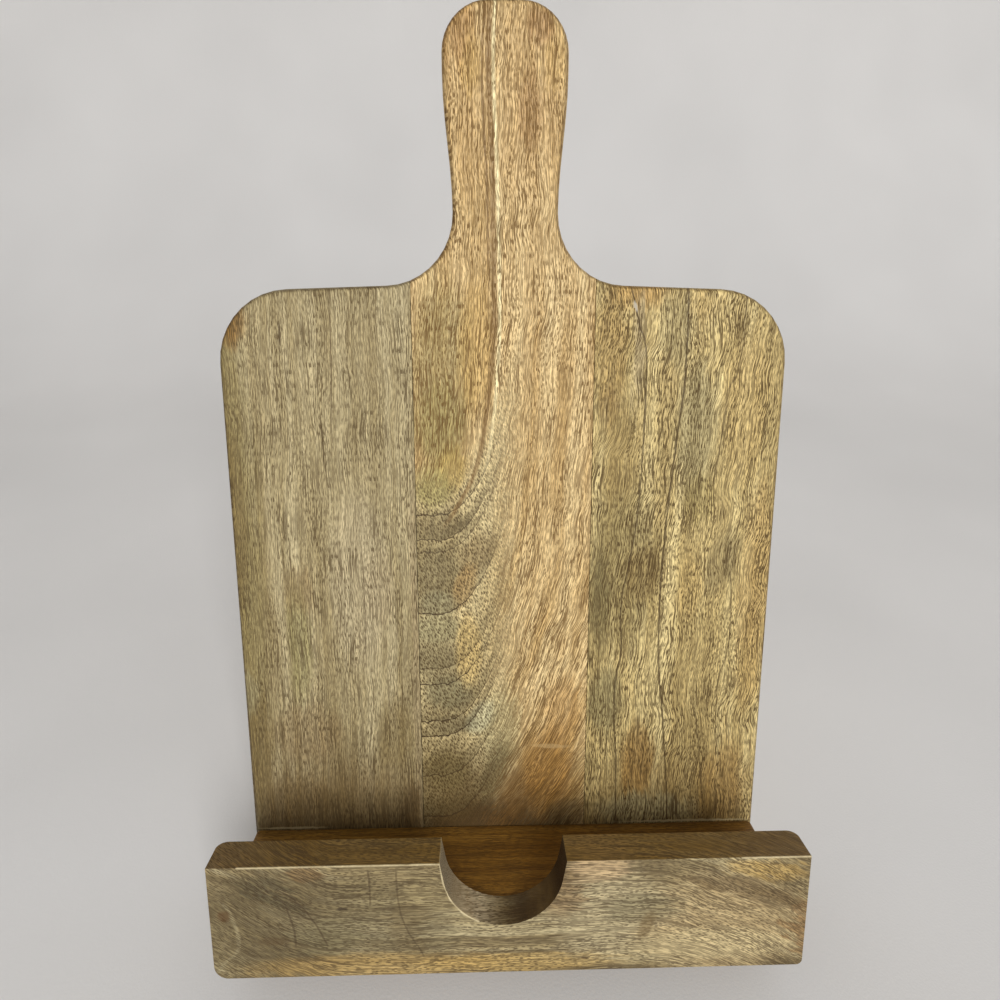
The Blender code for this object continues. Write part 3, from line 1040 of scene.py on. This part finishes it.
@dataclass(frozen=True)
class Panel:
    """The leaning panel of three glued planks, with the handle on the middle one.

    Attributes:
        axes: The panel's axes, from the foot of its front face, in millimetres up the panel.
        ledge_top: The height of the ledge's top.
    """

    axes: Axes
    ledge_top: float = 25.0

    def dress(self, workshop: Workshop) -> None:
        """Gives each plank its own wood."""
        workshop.dress(self.left_wood().material(), "board_left_plank")
        workshop.dress(self.centre_wood().material(), "board_centre_plank")
        workshop.dress(self.right_wood().material(), "board_right_plank")

    def left_wood(self) -> Timber:
        """Pale greyish tan with straight grain, browner at the outer edge and darker at the foot, where
        shade is painted.
        """
        brown, olive, line = paint(120, 98, 54), paint(138, 122, 74), paint(74, 56, 30)
        return Timber(
            name="mango_left_plank",
            axes=self.axes,
            way=Way.UPWARDS,
            pale=paint(198, 182, 140),
            plain=paint(178, 161, 119),
            deep=paint(156, 138, 96),
            pore=paint(90, 70, 38),
            # A dark edge colour: painted shade on the rounded edges.
            edge=paint(66, 46, 22),
            seed=11.0,
            pores=0.62,
            lines=1.5,
            wander=1.5,
            ripple=0.7,
            dotted=0.45,
            patches=(
                # Painted shade at the foot, under the lip.
                Patch(-94, 6, 90, 84, paint(112, 88, 50), 0.72),
                Patch(-142, 190, 19, 200, olive, 0.75),
                Patch(-137, 306, 12, 17, paint(136, 98, 38), 0.85),
                Patch(-141, 205, 9, 60, brown, 0.5),
                Patch(-138, 80, 12, 44, brown, 0.6),
                Patch(-142, 108, 10, 16, paint(160, 150, 112), 0.6),
                Patch(-111, 138, 8, 46, paint(144, 134, 82), 0.6),
                Patch(-109, 167, 10, 18, paint(138, 110, 66), 0.45),
                Patch(-67, 166, 11, 26, paint(150, 126, 84), 0.4),
                Patch(-109, 84, 24, 22, paint(150, 124, 84), 0.5),
                Patch(-61, 83, 12, 28, paint(136, 114, 66), 0.5),
                Patch(-118, 43, 30, 16, paint(110, 86, 46), 0.4),
                Patch(-52, 36, 9, 22, paint(92, 66, 32), 0.5),
                Patch(-77, 170, 20, 60, paint(200, 184, 148), 0.5),
                Patch(-48, 130, 3, 150, paint(176, 156, 118), 0.5),
            ),
            marks=(Patch(-121, self.ledge_top + 0.6, 24, 0.9, paint(214, 196, 150), 0.8),),
            veins=(
                Vein(((240, -88.8), (262, -87.8), (290, -86.6), (330, -86)), 0.6, line, 0.6, 30.0),
                Vein(((228, -92.6), (244, -92.8), (262, -93.4)), 0.7, line, 0.7, 10.0),
                Vein(((292, -111.6), (300, -111.4), (306, -111.2)), 0.8, line, 0.8, 4.0),
                Vein(((120, -76), (160, -75), (200, -76.5)), 0.6, line, 0.5, 20.0),
            ),
        )

    def centre_wood(self) -> Timber:
        """Honey gold, with growth rings beside the left joint and a bright line up the handle."""
        honey, brown = paint(210, 172, 98), paint(146, 108, 54)
        return Timber(
            name="mango_centre_plank",
            axes=self.axes,
            way=Way.UPWARDS,
            pale=paint(236, 208, 152),
            plain=paint(219, 188, 132),
            deep=paint(198, 164, 106),
            pore=paint(112, 80, 34),
            edge=paint(80, 54, 24),
            seed=3.7,
            pores=0.95,
            lines=1.6,
            wander=1.0,
            ripple=1.0,
            dotted=0.35,
            swing=(
                (0, 64), (30, 51), (60, 38), (100, 25), (150, 14),
                (200, 7), (250, 3), (300, 0.5), (340, 0), (450, 0),
            ),
            patches=(
                Patch(-38, 302, 9, 14, brown, 0.5),
                Patch(-32, 276, 20, 66, paint(162, 144, 92), 0.72),
                Patch(-33, 256, 14, 26, paint(156, 140, 84), 0.6),
                Patch(-28, 231, 10, 14, paint(186, 158, 82), 0.55),
                Patch(-15, 291, 11, 42, honey, 0.5),
                Patch(-3, 84, 14, 32, paint(204, 192, 142), 0.55),
                # Painted shade at the foot, under the lip and behind the notch.
                Patch(-5, 4, 74, 84, paint(96, 76, 42), 0.72),
                Patch(-16, 24, 46, 24, paint(56, 34, 4), 0.85),
                Patch(-34, 50, 26, 26, paint(104, 84, 46), 0.6),
                Patch(24, 58, 19, 34, paint(164, 118, 52), 0.75),
                Patch(41, 50, 6, 26, paint(150, 120, 66), 0.5),
                Patch(31, 96, 14, 26, paint(196, 146, 78), 0.45),
                Patch(8, 45, 14, 18, paint(120, 84, 36), 0.5),
                Patch(-6, 60, 8, 26, paint(92, 82, 50), 0.5, -14),
                Patch(-31, 107, 18, 13, paint(108, 106, 78), 0.65),
                Patch(-28, 88, 18, 7, paint(104, 94, 68), 0.6),
                Patch(-36, 70, 24, 14, paint(116, 98, 60), 0.45),
                Patch(-14, 92, 8, 14, paint(196, 192, 154), 0.6, -30),
                Patch(-33, 60, 16, 16, paint(124, 108, 66), 0.5),
                Patch(-34, 202, 24, 8, paint(112, 98, 64), 0.6),
                Patch(-36, 189, 20, 9, paint(128, 112, 72), 0.45),
                Patch(-36, 174, 20, 17, paint(96, 86, 56), 0.65),
                Patch(-15, 186, 11, 16, paint(118, 94, 54), 0.6, -30),
                Patch(-22, 168, 7, 16, paint(194, 152, 88), 0.55, -20),
                Patch(-36, 158, 14, 9, paint(150, 146, 112), 0.6),
                Patch(-37, 144, 20, 11, paint(142, 138, 102), 0.6),
                Patch(-38, 125, 20, 15, paint(112, 104, 74), 0.55),
                Patch(-20, 131, 9, 26, paint(224, 192, 122), 0.75),
                Patch(-36, 220, 14, 9, paint(140, 124, 70), 0.5),
                Patch(-38, 222, 12, 16, paint(176, 164, 102), 0.6),
                Patch(-23, 436, 10, 24, paint(158, 112, 54), 0.65),
                Patch(0, 410, 40, 60, paint(200, 162, 104), 0.4),
                Patch(-16, 420, 6, 16, honey, 0.5),
                Patch(12, 401, 8, 22, paint(154, 112, 60), 0.5),
                Patch(23, 423, 8, 18, honey, 0.4),
                Patch(16, 437, 9, 12, paint(152, 108, 58), 0.6),
            ),
            marks=(
                # A painted shadow at the foot.
                Patch(34, 32, 14, 11, paint(78, 72, 48), 0.35),
                Patch(25, 74, 14, 1.6, paint(214, 180, 124), 0.5, -3),
            ),
            veins=(
                Vein(
                    (
                        (196, -36), (215, -23), (234, -14.5), (254, -10.5), (281, -7.2),
                        (310, -5.5), (345, -6), (388, -6.6), (422, -8), (460, -6.6),
                    ),
                    2.1, paint(120, 88, 44), 0.68, 16.0,
                ),
                Vein(
                    (
                        (322, -8.4), (350, -8.6), (370, -8.8), (388, -10),
                        (422, -10.9), (443, -9.8), (460, -9.4),
                    ),
                    0.9, paint(104, 74, 34), 0.65, 14.0,
                ),
                Vein(
                    (
                        (208, -22), (220, -14.5), (246, -7.6), (281, -4), (310, -2.8), (345, -3.3),
                        (388, -4.4), (422, -5.7), (460, -4.2), (530, -4.2),
                    ),
                    1.25, paint(250, 232, 178), 0.9, 70.0,
                ),
                Vein(
                    ((246, -42), (250, -36), (256, -31), (267, -25.5), (281, -20.5), (300, -17.5)),
                    0.9, paint(112, 84, 44), 0.55, 8.0,
                ),
            ),
            rings=Rings(
                start=-35.4,
                end=14,
                levels=(
                    (31, 0.9), (57, 0.85), (81, 1.0), (90, 0.95), (112, 1.0),
                    (121.5, 0.65), (153, 1.0), (187, 0.7), (193.5, 0.85), (207, 0.85),
                ),
                shades=(
                    (31, 44, 0.4), (57, 66, 0.3), (81, 89, 0.55), (90, 106, 0.62), (112, 118, 0.3),
                    (121.5, 140, 0.42), (153, 172, 0.42), (187, 193, 0.4), (193.5, 203, 0.7),
                    (207, 213, 0.4),
                ),
                curl=3.4,
                steepening=0.06,
                low=20,
                high=216,
                line=paint(56, 42, 22),
                shade=paint(100, 88, 58),
                ground=paint(214, 199, 148),
                mark=paint(58, 46, 20),
            ),
        )

    def right_wood(self) -> Timber:
        """Olive gold with grey-green streaks and thin dark wavy lines."""
        line, gold, grey = paint(70, 54, 30), paint(202, 172, 108), paint(134, 128, 94)
        return Timber(
            name="mango_right_plank",
            axes=self.axes,
            way=Way.UPWARDS,
            pale=paint(228, 206, 146),
            plain=paint(208, 184, 124),
            deep=paint(182, 158, 102),
            pore=paint(82, 60, 24),
            edge=paint(80, 54, 24),
            seed=7.3,
            edging=0.5,
            pores=1.0,
            lines=1.65,
            wander=2.0,
            ripple=1.7,
            dotted=0.45,
            swing=((0, 5), (150, 4), (220, 1), (330, -6)),
            patches=(
                Patch(67, 322, 18, 14, paint(196, 150, 76), 0.6),
                Patch(53, 290, 10, 40, paint(160, 126, 62), 0.6),
                Patch(52, 262, 8, 14, paint(130, 100, 48), 0.5),
                Patch(67, 292, 4, 34, paint(164, 148, 116), 0.5),
                Patch(99, 315, 12, 14, gold, 0.5),
                Patch(98, 250, 13, 46, grey, 0.5),
                Patch(86, 300, 10, 22, grey, 0.35),
                Patch(62, 178, 24, 60, paint(120, 106, 62), 0.52),
                Patch(59, 238, 13, 34, paint(150, 124, 68), 0.55),
                Patch(108, 291, 10, 20, paint(208, 182, 118), 0.5),
                Patch(123, 262, 14, 50, gold, 0.6),
                Patch(134, 160, 12, 80, paint(190, 156, 94), 0.6),
                Patch(102, 214, 10, 18, paint(156, 138, 78), 0.4),
                Patch(115, 181, 10, 26, paint(122, 108, 74), 0.5, -20),
                Patch(99, 168, 8, 26, gold, 0.6),
                Patch(73, 173, 12, 22, paint(130, 106, 58), 0.6),
                Patch(50, 155, 8, 40, paint(106, 96, 60), 0.55),
                Patch(55, 101, 12, 26, paint(134, 126, 88), 0.6),
                # Painted shade at the foot, under the lip.
                Patch(93, 2, 80, 84, paint(120, 94, 50), 0.6),
                Patch(74, 64, 13, 28, paint(146, 104, 42), 0.65),
                Patch(80, 32, 36, 14, paint(176, 166, 124), 0.6),
                Patch(123, 48, 16, 34, paint(168, 132, 72), 0.6),
                Patch(133, 116, 8, 26, gold, 0.6),
            ),
            veins=(
                Vein(
                    ((20, 93), (51, 91), (94, 87), (147, 83), (190, 84), (245, 88), (292, 91), (330, 90)),
                    0.8, line, 0.8,
                ),
                Vein(
                    (
                        (20, 63), (60, 62), (107, 60), (134, 63), (150, 62), (176, 65),
                        (219, 70), (259, 71), (284, 71), (302, 67), (325, 61),
                    ),
                    0.75, line, 0.75,
                ),
                Vein(((220, 108), (255, 112), (269, 113), (282, 118), (325, 120)), 0.8, line, 0.5),
                Vein(((66, 120), (106, 117), (137, 122), (180, 119)), 0.7, line, 0.55),
                Vein(((26, 114), (51, 111), (83, 107), (110, 100)), 0.8, line, 0.5),
            ),
            marks=(
                Patch(102, self.ledge_top + 0.6, 44, 0.9, paint(214, 196, 150), 0.8),
                Patch(64.4, 312, 0.8, 3.6, paint(236, 226, 204), 0.6, 12),
            ),
        )


@dataclass(frozen=True)
class Tray:
    """The ledge that the book stands on, with the notched lip in front of it.

    Attributes:
        axes: The panel's axes, in millimetres.
        lip_front: Where the lip's front face is, backwards from the panel's.
        lip_top: The height of the lip's top.
    """

    axes: Axes
    lip_front: float = -76.8
    lip_top: float = 59.5

    def dress(self, workshop: Workshop) -> None:
        """Gives the ledge and the lip their woods."""
        workshop.dress(self.ledge_wood().material(), "ledge")
        workshop.dress(self.lip_wood().material(), "lip")

    def ledge_wood(self) -> Timber:
        """Dark golden brown, with the grain along the ledge."""
        return Timber(
            name="mango_ledge",
            axes=self.axes,
            way=Way.SIDEWAYS,
            pale=paint(152, 112, 46),
            plain=paint(130, 92, 32),
            deep=paint(104, 70, 20),
            pore=paint(60, 38, 10),
            edge=paint(170, 130, 66),
            seed=21.0,
            pores=0.6,
            wander=1.0,
            ripple=0.8,
            dotted=0.2,
        )

    def lip_wood(self) -> Timber:
        """Greyish tan to pale gold, with the curved figure of a knot at the left, a browner top that is
        partly painted shade, painted light and shade in the notch and painted highlights on its arrises.
        """
        line, pale, gold = paint(78, 62, 38), paint(180, 166, 126), paint(190, 156, 88)
        # The colour of the painted highlights on the arrises.
        bright = paint(228, 210, 166)
        front, top = self.lip_front, self.lip_top
        return Timber(
            name="mango_lip",
            axes=self.axes,
            way=Way.SIDEWAYS,
            pale=paint(194, 178, 136),
            plain=paint(154, 136, 96),
            deep=paint(112, 96, 64),
            pore=paint(70, 52, 28),
            edge=paint(150, 122, 74),
            seed=31.0,
            # A browner top, partly painted shade.
            top=paint(112, 84, 32),
            top_level=top,
            # The notch's wall: painted light on its left side, painted shade on its right.
            bowl=Bowl(-3.8, 54.2, 30.5, paint(204, 190, 162), paint(44, 20, 0)),
            edging=0.3,
            pores=0.85,
            lines=1.3,
            wander=1.6,
            ripple=0.8,
            dotted=0.6,
            swing=((-145, -26), (-120, -14), (-100, -5), (-80, 0), (50, 0), (80, 3), (110, 11), (145, 24)),
            patches=(
                Patch(-112, 26, 48, 46, paint(108, 94, 62), 0.8),
                Patch(-52, 24, 34, 30, paint(124, 112, 80), 0.6),
                Patch(44, 30, 34, 34, paint(196, 180, 140), 0.65),
                Patch(100, 24, 48, 34, paint(202, 176, 128), 0.6),
                Patch(-134, 22, 9, 26, paint(140, 124, 86), 0.55),
                Patch(-110, 44, 22, 7, paint(88, 80, 54), 0.6, -35),
                Patch(-96, 56, 12, 6, paint(126, 94, 52), 0.6),
                Patch(-72, 42, 24, 16, paint(124, 110, 76), 0.6),
                Patch(-86, 22, 20, 12, paint(128, 118, 84), 0.5),
                Patch(-48, 28, 12, 20, paint(120, 102, 66), 0.55),
                Patch(-38, 44, 12, 14, paint(170, 152, 108), 0.5),
                Patch(-60, 5, 80, 9, paint(176, 144, 84), 0.7),
                Patch(24, 42, 12, 16, paint(124, 94, 56), 0.6),
                Patch(40, 55, 18, 9, paint(204, 172, 128), 0.6),
                Patch(62, 34, 24, 10, paint(128, 118, 86), 0.6),
                Patch(112, 42, 38, 8, paint(104, 82, 48), 0.7, -17),
                Patch(120, 53, 24, 7, gold, 0.65, -8),
                Patch(96, 13, 52, 11, paint(210, 190, 142), 0.7),
                Patch(139, 20, 8, 20, paint(150, 112, 66), 0.6),
                Patch(4, 5, 60, 7, gold, 0.6),
            ),
            marks=(
                Patch(-134, 34, 4, 4, paint(92, 58, 20), 0.6),
                Patch(-112, 20, 9, 3, paint(96, 74, 42), 0.45),
                Patch(-79, 36.5, 3.4, 0.9, paint(58, 42, 22), 0.8),
                Patch(-60, 36, 8, 0.9, paint(78, 60, 34), 0.5),
                Patch(35, 6.7, 2.4, 0.9, paint(70, 48, 22), 0.7),
                Patch(64, 24, 4, 10, paint(120, 98, 60), 0.6, -20),
            ),
            veins=(
                Vein(
                    ((15, -101.5), (26, -102), (33, -103.5), (41, -106), (47, -113), (55, -122)),
                    0.8, line, 0.7, 3.0,
                ),
                Vein(
                    ((15, -86), (24, -89.5), (32, -93.5), (38.5, -98), (45.5, -105), (51, -116)),
                    0.8, line, 0.7, 3.0,
                ),
                Vein(
                    ((1, -140), (9, -135), (16, -128.5), (22, -128), (32, -130), (39.5, -133), (44, -141)),
                    1.4, pale, 0.4, 4.0,
                ),
                Vein(((31, -128), (37, -130), (43, -137)), 0.9, line, 0.5, 2.0),
                Vein(((37, -66), (48, -66), (58, -66.5)), 0.7, line, 0.6, 2.0),
                Vein(
                    ((8, -41), (14, -43.5), (21, -47.5), (32, -51.5), (42, -53), (58, -53.5)),
                    0.7, line, 0.55, 4.0,
                ),
            ),
            # Painted highlights along the lip's top front arris and the edges of the notch's left side.
            rims=(
                Rim(((-126, front, top), (-33, front, top)), 1.0, bright, 0.75),
                Rim(((108, front, top), (140, front, top)), 1.0, bright, 0.8),
                Rim(
                    (
                        (-32.9, front, top), (-31.6, front, 49.4), (-28.2, front, 40.1),
                        (-22.6, front, 33.1), (-15.7, front, 28.7),
                    ),
                    1.1, bright, 0.95,
                ),
                Rim(((-32.9, front, top), (-32.9, front + 19, top)), 0.9, bright, 0.6),
            ),
        )


@dataclass(frozen=True)
class Prop:
    """The hinged leg behind the panel.

    Attributes:
        axes: The axes of the open leg, from the hinge pin, in millimetres.
    """

    axes: Axes

    def dress(self, workshop: Workshop) -> None:
        """Gives the leg its wood, and the hinge its plating."""
        wood = Timber(
            name="mango_leg",
            axes=self.axes,
            way=Way.UPWARDS,
            pale=paint(204, 180, 130),
            plain=paint(180, 154, 106),
            deep=paint(150, 124, 80),
            pore=paint(98, 74, 40),
            edge=paint(96, 70, 38),
            seed=43.0,
        )
        plating = Plated("plated_hinge", paint(206, 172, 104), paint(140, 104, 52), 0.3)
        workshop.dress(wood.material(), "prop_leg")
        workshop.dress(plating.material(), "hinge_board_leaf", "hinge_leg_leaf", "hinge_pin")


@dataclass(frozen=True)
class Fasteners:
    """The dowels and screws that hold the pieces together.

    Attributes:
        axes: The panel's axes, in millimetres.
        ledge_screws: How many screws hold the ledge.
        dowels: How many dowels hold the lip.
        leaf_screws: How many screws hold each leaf of the hinge.
    """

    axes: Axes
    ledge_screws: int = 4
    dowels: int = 4
    leaf_screws: int = 3

    def dress(self, workshop: Workshop) -> None:
        """Gives the dowels bare beech, and the screws their passivated plating."""
        beech = Timber(
            name="beech_dowels",
            axes=self.axes,
            way=Way.BACKWARDS,
            pale=paint(222, 200, 160),
            plain=paint(208, 182, 138),
            deep=paint(190, 160, 116),
            pore=paint(150, 116, 76),
            edge=paint(170, 138, 96),
            seed=53.0,
            pores=0.3,
        )
        metal = Plated("passivated_screws", paint(200, 176, 118), paint(120, 100, 60), 0.35).material()
        workshop.dress(beech.material(), *self.numbered("lip_dowel", self.dowels))
        workshop.dress(metal, *self.numbered("ledge_screw", self.ledge_screws))
        for leaf in ("board_leaf_screw", "leg_leaf_screw"):
            workshop.dress(metal, *self.numbered(leaf, self.leaf_screws))

    @staticmethod
    def numbered(name: str, count: int) -> list[str]:
        """The names of a row of pieces."""
        return [f"{name}_{number}" for number in range(1, count + 1)]


@dataclass(frozen=True)
class Studio:
    """A pale floor that curves up into a backdrop, with one large soft lamp and a little light all round.

    Attributes:
        reach: How far the floor goes to each side and to the front, in metres.
        wall: How far behind the stand the backdrop stands.
        cove: The radius of the curve between floor and backdrop.
        height: The backdrop's height.
        lamp_size: The side of the square lamp.
        lamp_distance: How far the lamp is from the stand.
        lamp_rise: The lamp's height above the horizon, in radians.
        lamp_swing: How far it stands to the right of the front, in radians.
        lamp_power: The lamp's power in watts.
        ambient: The light from all round.
        ambient_tint: Its colour.
        beyond: How bright the surroundings look where the backdrop ends.
        beyond_tint: Their colour.
        cloth: The finish of the floor and backdrop.
    """

    reach: float = 7.0
    wall: float = 1.1
    cove: float = 0.5
    height: float = 2.6
    lamp_size: float = 1.8
    lamp_distance: float = 4.4
    lamp_rise: float = math.radians(34)
    lamp_swing: float = math.radians(12)
    lamp_power: float = 128.6
    ambient: float = 0.27
    ambient_tint: Paint = (1.0, 0.99, 0.97)
    beyond: float = 0.45
    beyond_tint: Paint = (1.0, 0.99, 0.98)
    cloth: Backcloth = Backcloth("studio_cloth", paint(232, 230, 228), paint(224, 222, 220))

    def build(self) -> None:
        """Makes the floor, the lamp and the surroundings."""
        self.build_floor()
        self.hang_lamp()
        self.surround()
        bpy.context.scene.view_settings.view_transform = "Standard"
        LOG.info("studio: floor, lamp and surroundings")

    def profile(self) -> list[tuple[float, float]]:
        """The floor and backdrop from the side, as places backwards and upwards."""
        steps = 24
        turns = (math.pi / 2 * step / steps for step in range(steps + 1))
        middle = self.wall - self.cove
        curve = [(middle + self.cove * math.sin(t), self.cove * (1 - math.cos(t))) for t in turns]
        return [(-self.reach, 0.0), *curve, (self.wall, self.height)]

    def build_floor(self) -> None:
        """Draws the profile out sideways into one smooth sheet."""
        rows = self.profile()
        points = [(side, y, z) for y, z in rows for side in (-self.reach, self.reach)]
        faces = [(2 * n, 2 * n + 1, 2 * n + 3, 2 * n + 2) for n in range(len(rows) - 1)]
        mesh = bpy.data.meshes.new("studio_floor")
        mesh.from_pydata(points, [], faces)
        mesh.shade_smooth()
        mesh.materials.append(self.cloth.material())
        floor = bpy.data.objects.new("studio_floor", mesh)
        bpy.context.scene.collection.objects.link(floor)

    def hang_lamp(self) -> None:
        """Hangs the lamp and points it at the stand."""
        lamp = bpy.data.lights.new("soft_lamp", "AREA")
        lamp.size = self.lamp_size
        lamp.energy = self.lamp_power
        low, high = CAD_BOX
        level = self.lamp_distance * math.cos(self.lamp_rise)
        way = Vector((level * math.sin(self.lamp_swing), -level * math.cos(self.lamp_swing), 0.0))
        way.z = self.lamp_distance * math.sin(self.lamp_rise)
        holder = bpy.data.objects.new("soft_lamp", lamp)
        holder.location = (low + high) / 2 + way
        holder.rotation_euler = (-way).to_track_quat("-Z", "Y").to_euler()
        holder.visible_camera = False
        bpy.context.scene.collection.objects.link(holder)

    def surround(self) -> None:
        """Lights the scene a little from all round, with pale surroundings."""
        world = bpy.data.worlds.new("pale_room")
        world.use_nodes = True
        tree = Tree(world.node_tree)
        path = tree.node("ShaderNodeLightPath", {}, {})
        rays = ("Is Camera Ray", "Is Glossy Ray", "Is Transmission Ray")
        share = functools.reduce(Value.at_least, [Value(tree, path.outputs[ray]) for ray in rays])
        light = {"Color": self.ambient_tint, "Strength": self.ambient}
        seen = {"Color": self.beyond_tint, "Strength": self.beyond}
        lit, shown = (tree.step("ShaderNodeBackground", {}, sockets) for sockets in (light, seen))
        mix = tree.step("ShaderNodeMixShader", {}, {0: share, 1: lit, 2: shown})
        tree.node("ShaderNodeOutputWorld", {}, {"Surface": mix})
        bpy.context.scene.world = world


@dataclass(frozen=True)
class Viewpoint:
    """The camera, held in front of the stand and looking down on it, as a phone's main camera.

    Attributes:
        place: Where the camera is, in metres.
        turn: How it is turned about X, Y and Z, in degrees.
        lens: The focal length in millimetres.
        sensor: The sensor's width in millimetres.
        near: How near to the camera things still show, in metres.
    """

    place: tuple[float, float, float] = (-0.0137556, -0.3137404, 0.4020084)
    turn: tuple[float, float, float] = (60.0540, -0.4074, -1.6008)
    lens: float = 27.07
    sensor: float = 36.0
    near: float = 0.01

    def build(self) -> None:
        """Sets the camera up."""
        camera = bpy.data.cameras.new("viewpoint")
        camera.lens = self.lens
        camera.sensor_width = self.sensor
        camera.clip_start = self.near
        holder = bpy.data.objects.new("viewpoint", camera)
        holder.location = self.place
        holder.rotation_euler = [math.radians(angle) for angle in self.turn]
        bpy.context.scene.collection.objects.link(holder)
        bpy.context.scene.camera = holder
        LOG.info("camera at %s", self.place)


@dataclass(frozen=True)
class Frame:
    """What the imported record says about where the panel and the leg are.

    Attributes:
        record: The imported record.
        joint: The prop leg's joint.
        ledge_thickness: The ledge's thickness in metres.
        ledge_depth: How far the ledge reaches from the panel's face.
    """

    record: dict
    joint: dict
    ledge_thickness: float = 0.025
    ledge_depth: float = 0.0575

    def panel_axes(self) -> Axes:
        """The axes of the leaning panel, from the foot of its front face."""
        mount = next(m for m in self.record["mounts"] if m["name"] == "ledge_top")
        up = Vector(mount["axis"])
        back = Vector((0.0, up.z, -up.y))
        foot = Vector(mount["pos_m"]) - up * self.ledge_thickness + back * (self.ledge_depth / 2)
        foot.x = 0.0
        return Axes(foot, math.atan2(up.y, up.z))

    def leg_axes(self) -> Axes:
        """The axes of the open leg, from the hinge pin."""
        opening = math.radians(self.joint["range_deg"][1])
        return Axes(Vector(self.joint["pos_m"]), self.panel_axes().tilt - opening)


def main() -> None:
    """Dresses the stand, piece by piece, and sets it in the studio."""
    found = Frame(frame["record"], frame["joints"][0])
    workshop = Workshop(frame["nodes"])
    Panel(found.panel_axes()).dress(workshop)
    Tray(found.panel_axes()).dress(workshop)
    Prop(found.leg_axes()).dress(workshop)
    Fasteners(found.panel_axes()).dress(workshop)
    Studio().build()
    Viewpoint().build()


if __name__ == "__main__":
    logging.basicConfig(level=logging.INFO, format="%(message)s")
    main()
